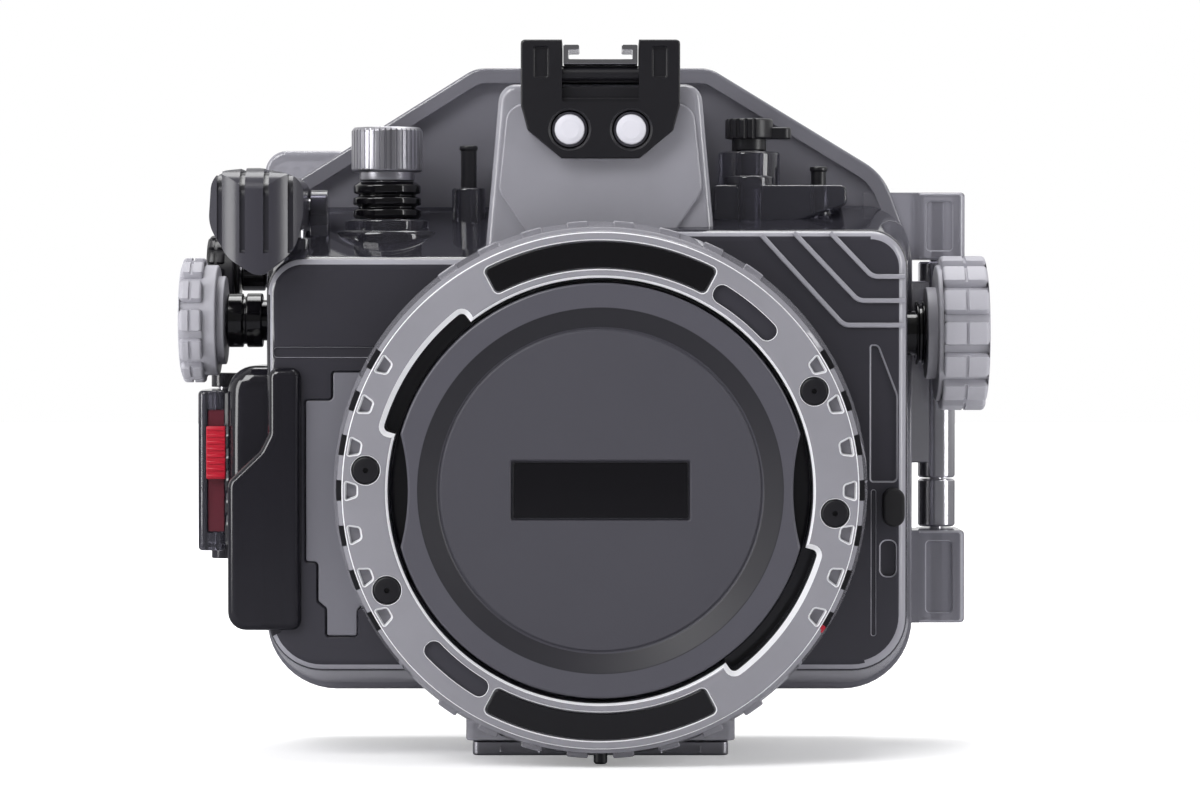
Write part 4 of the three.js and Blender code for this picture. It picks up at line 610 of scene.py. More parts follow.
ribs = []
for startX, startZ, kneeX, kneeZ in ((35.4, 115.9, 53.6, 96), (42.6, 116.4, 56.8, 101.4),
        (50.6, 116.4, 59.9, 106.7)):
    path = fillet([(startX, startZ, 0), (kneeX, kneeZ, 3), (67.2, kneeZ, 0), (67.2, kneeZ - 0.1, 0)], 6)[:-1]
    ribs.append(rib([p for p in path if p[0] <= 67.2], frontY, shoulder["ribWidth"], shoulder["rise"]))
shell = join(shell, *ribs)

# Shallow recesses: the window over the grip, the line above it, three at the right, and one in each hinge ear
leftWindow = fillet([(-60.6, 27.2, 0.8), (-53.5, 27.2, 0.8), (-53.5, 33, 1.2), (-50.4, 36, 1.2),
    (-50.4, 85.8, 2), (-59.2, 85.8, 0.8), (-59.2, 79.6, 0.8), (-65.2, 79.6, 0.8), (-65.2, 43.6, 0.8),
    (-62.5, 43.6, 0.8), (-62.5, 35, 0.8), (-60.6, 33.4, 0.6)], 4)
grooves = [
    pocket(leftWindow, frontY, 1.3, flare=0.3, floorRound=0.2),
    pocket(rectangle(-72.2, -38, 88.8, 91.2, 1), frontY, 0.6, flare=0.2, floorRound=0.2),
    pocket(rectangle(59.8, 60.7, 27.5, 59.6, 0.4), frontY, 0.5, flare=0.15, floorRound=0),
    *[pocket(rectangle(74.6, 80.4, low, high, 0.8), earY, 0.6, flare=0.3, floorRound=0)
        for low, high in ((30.2, 46.4), (113, 124))],
    pocket(rectangle(61.8, 65.2, 40.6, 48.4, 1.4), frontY, 1.4, flare=0.3, floorRound=0.3),
    pocket(fillet([(59.6, 91.5, 0.4), (59.6, 61.5, 0.6), (65.4, 61.5, 1), (65.4, 80.5, 3), (61.2, 91.5, 1)],
        6), frontY, 0.7, flare=0.25, floorRound=0.2),
]
shell = cut(shell, *grooves)


def overPrism(spot, normal):  # the hump, above the deck that slopes up behind the front plate
    share = (spot.y - frontY) / (flange["front"] - frontY)
    foot = case["topRight" if spot.x > 0 else "topLeft"]
    return (hump["front"] - 1.2 < spot.y < flange["front"] - 0.1
            and abs(spot.x) < 26.4 - (spot.z - 104) * 0.088
            and spot.z > foot + (case["deckZ"] - foot) * share + 0.02)


# Faces picked here are painted pale: painted highlights on the rounded edge, the raised lines and the pocket
# mouths
def paintedEdgeHighlight(spot, normal):  # the front plate's rounded edge, and its raised lines
    slanted = -0.95 < normal.y < -0.3
    offGrip = spot.x > -72 or spot.z > 88 or spot.z < 28
    rounding = slanted and offGrip and frontY + 0.3 < spot.y < frontY + 1.2
    ribs = spot.x > 30 and spot.z > 92 and frontY - 0.8 < spot.y < frontY - 0.05
    mouths = slanted and spot.x > 58 and abs(spot.y - frontY) < 0.3
    return rounding or ribs or mouths


# Faces picked here are painted pale: painted light on the flare's underside, which faces down
def underside(spot, normal):  # the flare below the front plate
    onGrip = spot.x < -65.8 and spot.z > 28
    return -27.5 < spot.y < 6.2 and normal.z < -0.02 and spot.z < 36 and not onGrip


finish("case_shell", shell, "housing", "smoked_polycarbonate", "front_shell", zones=[
    # painted light: the hump over the prism is painted paler
    (palePolycarbonate, overPrism),
    (linedPolycarbonate, lambda spot, normal: spot.y < -28.4 and not overPrism(spot, normal)),
    (smokedPaintedLight, paintedEdgeHighlight),
    # painted light: the flange and the hinge knuckles are painted lighter
    (paintedLightPolycarbonate, lambda spot, normal: spot.y > 6.3 or spot.x > 71.3),
    (palePolycarbonate, lambda spot, normal: spot.z < 16.9 and abs(spot.x) < 31),
    (smokedPaintedLight, underside),
    # painted highlight on the mouths of the pockets in the hinge ears
    (smokedPaintedLight, lambda spot, normal: spot.x > 73 and abs(spot.y - 8.3) < 0.5 and -0.95 < normal.y < -0.3),
    (blackPolycarbonate, lambda spot, normal: spot.x < -65.8 and spot.y < -15 and 28 < spot.z < 87.4)])
windowPlate = slab(grown(leftWindow, -0.25), frontY + 0.25, frontY + 1.15, "Y", 0.3)
# painted light: the window plate is painted lighter than the plate around it
finish("grip_window", windowPlate, "housing", "smoked_polycarbonate", material=paintedLightPolycarbonate)
print("shell finished", len(shell.data.polygons))


def aroundPort(shape, count, *starts):  # runs of copies 10 degrees apart; the shape itself goes
    made = [repeated(twin(shape), count, turn=(0, -10, 0), start=(0, start, 0), centre=(0, *portAxis))
        for start in starts]
    bpy.data.objects.remove(shape)
    return made


# Clear port ring with finger notches, entry gaps, grip pads and recesses for labels and screws
ring = {"front": -50.1, "back": -35.5, "inner": 46.05, "outer": 56, "outerBack": 58.6, "notchInner": 52.9,
    "notchDepth": 6.4}
portRing = lathe([(ring["inner"], ring["back"], 0.3), (ring["inner"], ring["front"], 1.1),
    (ring["outer"], ring["front"], 0.5), (56.3, -47.9, 0.2), (57.1, -47.3, 0.3),
    (ring["outerBack"], ring["back"], 0.4)], "Y", portAxis, 216, 6)
notchShape = fillet([(ring["notchInner"] - 0.2, -1.2, 0.8), (55.2, -2, 0.3), (55.2, 2, 0.3),
    (ring["notchInner"] - 0.2, 1.2, 0.8)], 5)
slotShape = fillet([(56.1, -2.2, 0.3), (61, -2.6, 0), (61, 2.6, 0), (56.1, 2.2, 0.3)], 3)
notches = []
for shape, depth, flare in ((notchShape, 1.6, 0.3), (slotShape, ring["notchDepth"], 0)):
    tool = pocket(shape, ring["front"], depth, flare=flare, floorRound=0.3 if flare else 0)
    notches += aroundPort(tool, 7, 30, 210)
gates = [pocket(arcBand(ring["inner"] - 3, 48.9, a, b, 1.2, 0, portZ), ring["front"], 16, flare=1.1,
    floorRound=0) for a, b in ((127.5, 164.5), (306, 344.5))]
labels = [pocket(arcBand(48, 54.2, middle - 28, middle + 28, 1.2, 0, portZ), ring["front"], 1, flare=0.25,
    floorRound=0) for middle in (90, 270)]
beans = [pocket(arcBand(47.9, 52, a, a + 19, 1.9, 0, portZ), ring["front"], 0.9, flare=0.15, floorRound=0)
    for a in (221.5, 41.5)]
screwHoles = []
for angle in screwAngles:
    spot = onPort(51, angle)
    screwHoles.append(pocket(circle(3.15, *spot), ring["front"], 2.5, flare=0.12, floorRound=0.2))
    screwHoles.append(rod(1.6, -51, -34, "Y", spot, 0))
padShape = slab(arcBand(56.4, 58.6, 87.7, 92.3, 0.4), ring["back"] - 8.4, ring["back"] - 3.4, "Y", 0.4, 0.4,
    3)
portRing = join(portRing, *aroundPort(padShape, 8, 35, 215))
portRing = cut(portRing, *notches, *gates, *labels, *beans, *screwHoles, rod(1.85, -1, 9.4, "Z", lockAxis, 0))
finish("port_ring_clear", portRing, "housing", "clear_polycarbonate", "port_ring", material=ringPolycarbonate,
       # painted highlights: the ring's front chamfers are painted near white
       zones=[(paintedHighlightEdge, lambda spot, normal: spot.y < -48 and -0.92 < normal.y < -0.3),
              (linedPolycarbonate, lambda spot, normal: abs(spot.y - ring["front"] - 0.9) < 0.02),
              # painted shade: the floors of the deep slots are painted black
              (blackAbs, lambda spot, normal: abs(spot.y - ring["front"] - ring["notchDepth"]) < 0.05)])
markShape = slab(rectangle(55.6, 57.2, -0.8, 0.8, 0.3), -47.6, -46.6, "Y", 0.2)
finish("alignment_mark", moved(turned(markShape, 32, "Y"), 0, 0, portZ), "housing", "red_abs")

labelHalf = 27.64  # degrees
for name, middle in (("label_top", 90), ("label_bottom", 270)):
    label = slab(arcBand(48.3, 53.9, middle - labelHalf, middle + labelHalf, 1, 0, portZ),
        ring["front"] + 0.2, ring["front"] + 0.85, "Y", 0.2)
    finish(name, label, "housing", "black_abs", f"label_plate_{name[6:]}", material=polishedAcetal)

screw = cut(
    lathe([(0, -50.1), (1.1, -50.1), (2.9, -49.95, 0.35), (2.9, -47.9), (1.3, -47.9), (1.3, -31.5),
        (0, -31.5)], "Y", (0, 0), 48),
    lathe([(0, -51), (0.75, -51), (0.6, -49.6, 0.2), (0.6, -49), (0, -49)], "Y", (0, 0), 6),
)
for i, angle in enumerate(screwAngles):
    x, height = onPort(51, angle)
    finish(f"screw_{i + 1}", moved(twin(screw), x, 0, height), "housing", "black_abs", f"ring_screw_{i + 1}")
bpy.data.objects.remove(screw)

# Bayonet mount inside the ring
mount = lathe([(41, -35.5), (41, -43.5, 0.4), (45.7, -43.5, 0.9), (45.7, -35.5)], "Y", portAxis, 160)
lug = slab(arcBand(39.2, 41.4, 69, 111, 0.5), -43.5, -41.1, "Y", 0.3, 0.3, 3)
mount = join(mount, repeated(lug, 3, turn=(0, -120, 0), centre=(0, 0, portZ)))
finish("bayonet_mount", mount, "housing", "black_abs", "port_mount")

# Port cap: a flange with two waists, a bevel down to a grooved face, and a recess for a plate, left bare
cap = {"front": -49.7, "back": -46.3, "face": -48.1}
capSolid = lathe([
    (0, -37.3), (34.4, -37.3, 0.6), (34.4, -36.6), (38.4, -38.9, 0.5), (38.4, cap["back"], 0.3),
    (45, cap["back"], 0.4), (45, cap["front"], 0.6),
    (39.6, cap["front"], 0.5), (35.5, cap["face"], 0.4), (35.05, cap["face"] + 0.5, 0.15),
    (34.6, cap["face"], 0.2), (0, cap["face"])], "Y", portAxis, 216)
capSolid = cut(
    capSolid,
    *[pocket(circle(48, x, portZ, 240), cap["front"], 3.41, flare=0.5, floorRound=0) for x in (-89.7, 89.7)],
    pocket(rectangle(-19.45, 19.45, portZ - 6.5, portZ + 6.5, 0.5), cap["face"], 1.2, flare=0.25,
        floorRound=0.3),
)
lugBack = slab(arcBand(38, 40.6, 73, 107, 0.5), -40.6, -38.6, "Y", 0.3, 0.3, 3)
capSolid = join(capSolid, repeated(lugBack, 3, turn=(0, -120, 0), centre=(0, 0, portZ)))


def fromAxis(spot, x=0, height=portZ):  # how far a spot is from an axis along Y
    return ((spot.x - x) ** 2 + (spot.z - height) ** 2) ** 0.5


finish("cap_body", capSolid, "cap", "grey_abs", "port_cap", zones=[
    # painted shade on the bevel and painted light on the flange
    (slateBevelPaintedShade, lambda spot, normal: 35.4 < fromAxis(spot) < 39.7 and spot.y < -48),
    (slateFlangePaintedLight, lambda spot, normal: fromAxis(spot) > 39.7 and spot.y < cap["back"])])
plateBare = slab(rectangle(-18.9, 18.9, portZ - 5.95, portZ + 5.95, 0.3), cap["face"] + 0.5,
    cap["face"] + 1.1, "Y", 0.15)
finish("cap_plate", plateBare, "cap", "grey_abs", material=polishedAcetal)
print("port finished")

# Shoe bracket over the hump: two towers with a notch between, and a skirt down the hump's face
bracket = {"front": -28.3, "skirtBack": -25.3, "back": -6, "top": 159, "base": 149.7, "lightZ": 139.2}
skirtShape = fillet([(-8.6, 132.8, 0.6), (8.6, 132.8, 0.6), (16.1, 139, 1), (17.6, 144.6, 1), (17.6, 159, 1),
    (-17.6, 159, 1), (-17.6, 144.6, 1), (-16.1, 139, 1)], 6)
skirt = slab(skirtShape, bracket["front"], bracket["skirtBack"], "Y", 0.45, 0.2)
towers = slab(rectangle(-17.6, 17.6, -25.8, bracket["back"], 0.8, 4), bracket["base"], bracket["top"], "Z",
    0.4, 0.5)
towers = cut(
    join(skirt, towers),
    slab(rectangle(-8.5, 8.5, -31, -4), 153.3, 162, "Z"),
    slab(rectangle(-8.5, 8.5, 145.3, 160, 0.5, 4), -31, -25.3),
)
towers = join(
    towers, block(-9, 9, -26.3, -25.1, 144.9, 148.6, 0.2, 0.2),
    block(-8.8, 8.8, -27.4, -25.1, 144.8, 146.2, 0.2, 0.2),
    rod(1.5, -8.7, 8.7, "X", (-25.9, 151.5), 0.1),
)
towers = cut(
    towers, *[pocket(circle(4.25, x, bracket["lightZ"]), bracket["front"], 2.1, flare=0.5)
        for x in (-6.8, 6.8)],
    *[rod(0.9, -27, -25, "Y", (x, 156), 0) for x in (-14.3, 14.3)],
    *[pocket(rectangle(x - 1.6, x + 1.6, 150.6, 157.4, 0.6), bracket["front"], 0.7, flare=0.2)
        for x in (-13.1, 13.1)],
)
finish("shoe_bracket_body", towers, "housing", "black_abs", "shoe_bracket")

shoeShape = [(-8.2, 153.6), (8.2, 153.6), (8.2, 157.9), (4.7, 157.9), (4.7, 156.8), (7.1, 156.8),
    (7.1, 154.7), (-7.1, 154.7), (-7.1, 156.8), (-4.7, 156.8), (-4.7, 157.9), (-8.2, 157.9)]
shoeSheet = slab(fillet([(x, height, 0.35) for x, height in shoeShape], 4), -27.5, -6.8, "Y", 0.15, 0.15, 2)
shoeSheet = cut(shoeSheet, *[rod(1.1, 150, 156, "Z", (x, y), 0) for x in (-4, 4) for y in (-21, -12)])
finish("accessory_shoe", shoeSheet, "housing", "stainless", "cold_shoe")
for name, x in (("left", -6.8), ("right", 6.8)):
    lensShape = lathe([(0, -28.2), (2, -28.2, 1), (3.2, -27.9, 0.2), (3.3, -27.5, 0.1), (3.9, -27.4, 0.1),
        (3.9, -26.5), (0, -26.5)], "Y", (x, bracket["lightZ"]), 64)
    finish(f"flash_window_{name}", lensShape, "housing", "white_acrylic", f"fibre_window_{name}",
           zones=[(leverAbs, lambda spot, normal: fromAxis(spot, x, bracket["lightZ"]) > 3.32)])

# Mode dial: a fluted metal knob on a neck, above polished discs
knob = lathe([(0, 128.4), (6.2, 128.4, 0.3), (6.2, 130.3), (7.75, 130.4, 0.5), (8, 131.1), (8, 139.6, 0.25),
    (7.4, 140.4, 0.3), (6.6, 140.4), (6.2, 140.0, 0.2), (0, 140.0)], "Z", (0, 0), 144)
flute = slab(fillet([(7.65, -0.12, 0.05), (8.3, -0.42, 0), (8.3, 0.42, 0), (7.65, 0.12, 0.05)], 2), 130.9,
    141, "Z")
knob = cut(knob, repeated(flute, 40, turn=(0, 0, 9)), rod(2.9, 126, 134.5, "Z", (0, 0), 0))
finish("mode_knob", moved(knob, *modeAxis), "mode_dial", "grey_aluminium", "mode_dial_knob")
glandShape = [(2.95, 115.9), (4.4, 115.9, 0.2), (4.4, 119.9), (7.2, 119.9, 0.3), (7.7, 120.6, 0.3),
    (7.7, 121.9, 0.4), (6.5, 122.2, 0.2), (6.5, 122.7, 0.2), (7.7, 123, 0.5), (7.7, 124.6, 0.5),
    (6.5, 124.9, 0.2), (6.5, 125.3, 0.2), (7.6, 125.6, 0.5), (7.6, 127.3, 0.5), (6.6, 128.1, 0.2),
    (2.95, 128.1)]
finish("mode_gland", lathe(glandShape, "Z", modeAxis, 96), "housing", "polished_black", "mode_dial_gland")
modeShaft = lathe([(0, 103.5), (6.2, 103.5, 0.3), (6.2, 108.5, 0.6), (2.6, 108.5, 0.3), (2.6, 134.1),
    (0, 134.1)], "Z", modeAxis, 64)
finish("mode_shaft", modeShaft, "mode_dial", "stainless", "mode_dial_shaft")


# Side dials: each is made pointing out along +X from its face, then turned for the left side
def atSide(shape, size, out):
    return moved(shape if out > 0 else turned(shape, 180, "Z"), 0, *size["axis"])


def sideDial(size, out):
    plain = size["radius"] - size["depth"]
    thick, back = size["thick"], size["thick"] - size["lobeLength"]
    body = lathe([(0, -size["hubLength"]), (size["hub"], -size["hubLength"], 0.3), (size["hub"], 0),
        (plain + 0.3, 0, 0.5), (plain + 0.3, back), (plain + 0.3, thick, 0.28),
        (min(size["hub"] + 1.4, plain - 0.9), thick, 0.4), (size["hub"] - 0.6, thick - 1.8, 0.6),
        (3.4, thick - 1.8, 0.4), (3.0, thick - 1.2, 0.3), (0, thick - 1.2)], "X", (0, 0), 120)
    grip = slab(lobes(size["radius"], size["depth"] * 1.7, size["count"], 0.95), back, thick - 0.3, "X", 0.7,
        0.9, 4)
    middle = (back + thick) / 2
    waist = cut(rod(size["radius"] + 1, middle - 0.35, middle + 0.35, "X", (0, 0), 0, 96),
        rod(size["radius"] - 0.55, 0, thick, "X", (0, 0), 0, 96))
    grip = cut(grip, rod(plain - 0.4, back - 2, thick + 2, "X", (0, 0), 0, 96), waist)
    made = cut(join(body, grip), rod(size["shaft"] + 0.3, -size["hubLength"] - 1, thick / 2 + 0.3, "X",
        (0, 0), 0))
    return atSide(moved(made, size["face"]), size, out)


frontDial = {"axis": frontDialAxis, "radius": 14.1, "thick": 8.4, "hub": 10, "hubLength": 1.6, "count": 12,
    "depth": 1.9, "lobeLength": 5.4, "shaft": 3, "face": 86.4}
zoomDial = {"axis": zoomDialAxis, "radius": 17.5, "thick": 11.4, "hub": 10.4, "hubLength": 2.2, "count": 14,
    "depth": 2.4, "lobeLength": 10.4, "shaft": 3.4, "face": 75.9}
rearDial = {"axis": rearDialAxis, "radius": 9, "thick": 6.4, "hub": 6, "hubLength": 1, "count": 14,
    "depth": 1, "lobeLength": 4.2, "shaft": 2, "face": 84.4}
finish("front_knob", sideDial(frontDial, -1), "front_dial", "knob_grey", "front_dial_knob")
finish("zoom_knob", sideDial(zoomDial, 1), "zoom_dial", "knob_grey", "zoom_dial_knob")
finish("rear_knob", sideDial(rearDial, -1), "rear_dial", "black_abs", "rear_dial_knob")


def sideShaft(size, low, wheel, width, out, tooth=0):  # the wheel is at the inner end
    shaft = rod(size["shaft"], low, size["face"] + size["thick"] / 2, "X", (0, 0), 0.3)
    if tooth:
        gear = slab(lobes(wheel, tooth, 16, 0.45, 12), low, low + width, "X", 0.3, 0.3, 2)
    else:
        gear = lathe([(0, low), (wheel, low, 0.5), (wheel, low + width, 0.5), (0, low + width)], "X", (0, 0),
            64)
    return atSide(join(shaft, gear), size, out)


finish("front_shaft", sideShaft(frontDial, 66.5, 6.5, 3, -1), "front_dial", "stainless", "front_dial_shaft")
finish("zoom_shaft", sideShaft(zoomDial, 59.5, 7, 4, 1, 1.6), "zoom_dial", "stainless", "zoom_dial_shaft")


def sideGland(size, seatX, spigot, gland, bore, out):
    high = size["face"] - size["hubLength"] - 0.3
    middle = (seatX + high) / 2
    made = lathe([(bore, seatX - 4), (spigot, seatX - 4, 0.2), (spigot, seatX), (gland, seatX, 0.4),
        (gland, middle - 0.5, 0.3), (gland - 0.7, middle - 0.3, 0.15), (gland - 0.7, middle + 0.3, 0.15),
        (gland, middle + 0.5, 0.3), (gland, high, 0.5), (bore, high)], "X", (0, 0), 96)
    return atSide(made, size, out)


finish("front_gland", sideGland(frontDial, 76.5, 4.6, 6.1, 3.35, -1), "housing", "polished_black",
    "front_dial_gland")
finish("zoom_gland", sideGland(zoomDial, 71.5, 5, 7.2, 3.75, 1), "housing", "polished_black",
    "zoom_dial_gland")
finish("rear_gland", sideGland(rearDial, 71.5, 3.1, 3.8, 2.35, -1), "door", "polished_black",
    "rear_dial_gland")
print("dials finished")

# Shutter lever: a ribbed pad that runs over the corner to its pivot
lever = {"left": -86.2, "right": -65.4, "front": -37.6, "bow": 0.05}
sideShape = fillet([(-37.6, 104, 0), (-32.6, 104, 0), (-32.6, 118, 2.5), (-12.6, 118, 0.8), (-4.6, 118.4, 4),
    (-4.6, 127.4, 4), (-8.6, 130.6, 5), (-32.6, 130.6, 9), (-37.6, 127.4, 9)], 10)
faceShape = fillet([(-74.6, 106.2, 3.4), (-67, 112.5, 9), (-65.4, 120, 8), (-65.4, 128.4, 4),
    (-75.4, 130.8, 12), (-85.4, 129.6, 4.5), (-86.2, 118, 8), (-81.6, 110.6, 9)], 10)


def padFront(x):  # the pad is bowed across its width
    return lever["front"] + lever["bow"] * (x + 75.8) ** 2


plan = [(x, padFront(x)) for x in [-88 + 25 * k / 40 for k in range(41)]] + [(-63, -2), (-88, -2)]
pad = combined(slab(sideShape, -88, -63, "X"),
    [slab(faceShape, -40, -2, "Y", 1.2, 0.8), slab(plan, 100, 135, "Z")], "INTERSECT")
ridges = []
for i in range(4):
    x = lever["left"] + (lever["right"] - lever["left"]) * (i + 0.5) / 4
    deep = padFront(x) + 0.9
    groove = fillet([(-40, 111, 0), (deep, 112, 0.8), (deep, 126, 5), (-30, 129.6, 6), (-9, 129.6, 1),
        (-9, 133, 0), (-40, 133, 0)], 6)
    ridges.append(slab(groove, x - 0.6, x + 0.6, "X"))
pad = cut(pad, *ridges, rod(2.35, -84.2, -60, "X", leverAxis, 0))
finish("trigger_lever", pad, "shutter", "lever_grey", "shutter_lever")
plunger = lathe([(0, 102), (2.4, 102, 0.3), (2.4, 103.6), (1.8, 103.6), (1.8, 117.4, 0.8), (0, 117.7)], "Z",
    plungerAxis, 48)
finish("trigger_plunger", plunger, "plunger", "stainless", "shutter_plunger")

# Power lever's knob and the two push posts
powerKnob = join(
    lathe([(0, 135.3), (3.9, 135.3, 0.3), (3.9, 137.9), (5.4, 137.9, 0.5), (5.4, 142.5, 0.7), (4.2, 142.5),
        (3.8, 142.1, 0.2), (0, 142.1)], "Z", (0, 0), 72),
    slab(fillet([(0, -1.9, 0), (9.5, -1.9, 1.9), (9.5, 1.9, 1.9), (0, 1.9, 0)], 10), 137.9, 140.6, "Z", 0.4,
        0.5),
)
notch = rod(0.55, 137, 144, "Z", (5.55, 0), 0, 16)
powerKnob = cut(powerKnob, repeated(notch, 12, turn=(0, 0, 20), start=(0, 0, 60)),
    rod(2.5, 134, 140.5, "Z", (0, 0), 0))
finish("power_knob", moved(powerKnob, *powerAxis), "power", "black_abs", "power_lever")
for side, axis, radius, capRadius, top in (("left", leftPostAxis, 1.8, 2.1, 136.6),
        ("right", rightPostAxis, 1.7, 2, 131.8)):
    post = lathe([(0, 106), (3, 106, 0.2), (3, 107.4, 0.2), (radius, 107.4), (radius, top - 1.2, 0.1),
        (capRadius, top - 0.9, 0.2), (capRadius, top, 0.4), (0, top)], "Z", axis, 48)
    finish(f"{side}_post_rod", post, f"{side}_post", "black_abs", f"{side}_push_post")
print("levers finished")


def pin(radius, low, high, chamfer, axis, centre, bore=0, steps=48):
    return lathe([(bore, low), (radius - chamfer, low), (radius, low + chamfer, 0.1),
        (radius, high - chamfer, 0.1), (radius - chamfer, high), (bore, high)], axis, centre, steps)


# Hinge at the right: smoked knuckles are part of the case, the leaf and its barrel are steel
finish("hinge_rod", pin(1.6, 27.7, 124.3, 0.4, "Z", hingeAxis), "housing", "stainless", "hinge_pin")
barrel = pin(4.3, 49.2, 60.2, 0.4, "Z", hingeAxis, 1.95, 72)
finish("hinge_sleeve", barrel, "housing", "stainless", "hinge_barrel")
leafBarrel = pin(4.3, 60.5, 110.5, 0.4, "Z", hingeAxis, 1.95, 72)
leaf = slab(rectangle(66.9, 78, 64, 106, 1.2), 20.25, 22.25, "Y", 0.3, 0.3)
leafScrew = lathe([(0, 22.5), (0.9, 22.5), (0.9, 23.5), (1.7, 23.4, 0.4), (2.1, 22.8, 0.2), (2.1, 22.1),
    (0, 22.1)], "Y", (0, 0), 48)
leafScrews = spread(leafScrew, [(70.6, height) for height in (68.5, 85, 101.5)])
leafBarrel = cut(join(leafBarrel, cut(leaf, rod(2, 60, 111, "Z", hingeAxis, 0))),
    rod(1.95, 60, 111, "Z", hingeAxis, 0))
finish("hinge_plate", join(leafBarrel, *leafScrews), "door", "stainless", "hinge_leaf")

# Latch: a bowed clear plate on a side pin, with a ribbed red slide in a slot at its front edge
latch = {"hub": 3.1, "low": 45.5, "high": 81.3}
latchShape = fillet([(-84, -16.4, 1.2), (-84, 13.4, 3), (-86.8, 16.5, 1.6), (-86.8, 22.7, 1),
    (-89.9, 22.7, 3), (-91, 1.6, 40), (-89.9, -16.4, 1.6)], 14)
latchBody = join(slab(latchShape, latch["low"], latch["high"], "Z", 0.9, 0.9, 5),
    rod(latch["hub"], latch["low"], latch["high"], "Z", latchAxis, 0.6))
latchCuts = [rod(1.85, 44, 83, "Z", latchAxis, 0), block(-88, -83.9, -18.5, -15.4, 49.5, 77.3, 0.2, 0.3)]
for height in (52, 57, 62, 67, 72):
    latchCuts.append(slab(rectangle(-12, 10, height - 1.1, height + 1.1, 1.1, 6), -84.6, -83, "X"))
finish("latch_plate", cut(latchBody, *latchCuts), "side_latch", "clear_polycarbonate", "latch",
    material=smokedPolycarbonate)
finish("slide_track", block(-87.8, -84.1, -15.9, -15.45, 49.8, 77, 0.1, 0.2), "side_latch", "red_abs",
    material=redTrack)
slideBody = join(block(-88, -83.7, -17.6, -16.7, 61.6, 73.4, 0.3, 0.2),
    block(-87.4, -84.3, -16.8, -16.1, 61.9, 73.1, 0.1, 0.1))
ridge = slab(fillet([(-17.9, 62.0, 0.1), (-17.9, 62.55, 0.25), (-17.2, 62.8, 0), (-17.2, 61.75, 0)], 4),
    -87.9, -83.8, "X", 0.15, 0.15, 2)
slideBody = join(slideBody, repeated(ridge, 8, move=(0, 0, 1.5)))
finish("lock_slide", slideBody, "lock_slider", "red_abs", "latch_lock")
finish("latch_rod", pin(1.5, 42.3, 84.5, 0.3, "Z", latchAxis), "door", "stainless", "latch_pin")
finish("lever_rod", pin(2, -83.9, -62, 0.3, "X", leverAxis), "housing", "stainless", "lever_pin")

# Rear door: a plate in the flange's outline, a raised tray, a finder hood, ten button wells, a thumb rest
door = {"front": 14.3, "plate": 20.1, "back": 31.1, "edge": 5, "collar": 32.7, "finder": 40.1}
buttons = {
    "ok_button": (-47, 61), "left_arrow_button": (-35.6, 61), "right_arrow_button": (-58.4, 61),
    "up_arrow_button": (-47, 72.4),
    "down_arrow_button": (-47, 49.6), "info_button": (-34.4, 86), "lock_button": (-59.6, 86),
    "play_button": (-34.4, 36),
    "delete_button": (-59.6, 36), "menu_button": (48, 107),
}
hoodScrews = [(x, z) for x in (-16.3, 16.3) for z in (113.8, 147.9)]
panes = {
    "screen": {"box": (-24.3, 59.3, 30.7, 99.3), "face": door["back"]},
    "finder": {"box": (-13.3, 13.3, 123.7, 144.3), "face": door["finder"]},
}


def paneOutline(name, out=0.0):
    x0, x1, z0, z1 = panes[name]["box"]
    return rectangle(x0 - out, x1 + out, z0 - out, z1 + out, 3)


doorPlate = slab(flangeOutline(), door["front"], door["plate"], "Y", 0.5, 1.2, 5)
tray = slab(flangeOutline(door["edge"]), 18, door["back"], "Y", 0, 1.8, 6)
hood = slab(rectangle(-19, 19, 111, 150.6, 4, 8), 18, door["finder"], "Y", 0, 1.3, 5)
thumbRest = slab(rectangle(-77.3, -56, 113, 136, 5, 8), 17, 28, "Y", 1.2, 2.4, 6)
doorBody = join(doorPlate, tray, hood, thumbRest)
for low, high in ((42, 45.2), (81.6, 84.8)):
    ear = join(slab(rectangle(-86.8, -72, 16.5, 22.7, 0.3, 2), low, high, "Z", 0.2, 0.2, 2),
        rod(latch["hub"], low, high, "Z", latchAxis, 0.2))
    doorBody = join(doorBody, ear)
collar = lathe([(0, 30), (6.1, 30), (6.1, 32.3, 0.3), (5.7, 32.7, 0.3), (0, 32.7)], "Y", (0, 0), 72)
collars = spread(collar, buttons.values())
bezel = cut(slab(rectangle(-27, 62, 28, 101.4, 4.4, 8), 30.5, 31.9, "Y", 0, 0.5, 4),
    slab(rectangle(-25.5, 60.5, 29.5, 100.5, 3.4, 8), 30, 33, "Y"))
doorBody = join(doorBody, *collars, bezel)
ribs = []
for i in range(5):  # ribs on the thumb rest
    ribs.append(block(-74.5 + 3.4 * i, -73.1 + 3.4 * i, 27, 28.9, 116.5, 132.5, 0.5, 0.5))
doorBody = join(doorBody, *ribs)
doorCuts = [
    slab(flangeOutline(10), 12, 26.9, "Y"), slab(rectangle(-15, 15, 115, 146.2, 0.4, 4), 12, 36.1, "Y"),
    *[pocket(paneOutline(name, out), panes[name]["face"], depth, way=-1, flare=flare)
      for name in panes for out, depth, flare in ((-2.3, 12, 0), (0.3, 1.4, 0.3))],
    rod(3.45, -80, -64, "X", rearDialAxis, 0), rod(1.8, 40, 87, "Z", latchAxis, 0),
    *[pocket(circle(1.7, x, z, 36), door["finder"], 1.3, way=-1, flare=0.25, floorRound=0)
        for x, z in hoodScrews],
]
for x, z in buttons.values():
    doorCuts += [pocket(circle(4.5, x, z), door["collar"], 3.4, way=-1, flare=0.4),
        rod(2.15, 10, 36, "Y", (x, z), 0)]
sealOuter, sealInner = flangeOutline(1.3), flangeOutline(3.3)
doorCuts.append(cut(slab(sealOuter, 12, 16, "Y"), slab(sealInner, 10, 18, "Y")))
doorBody = cut(doorBody, *doorCuts)
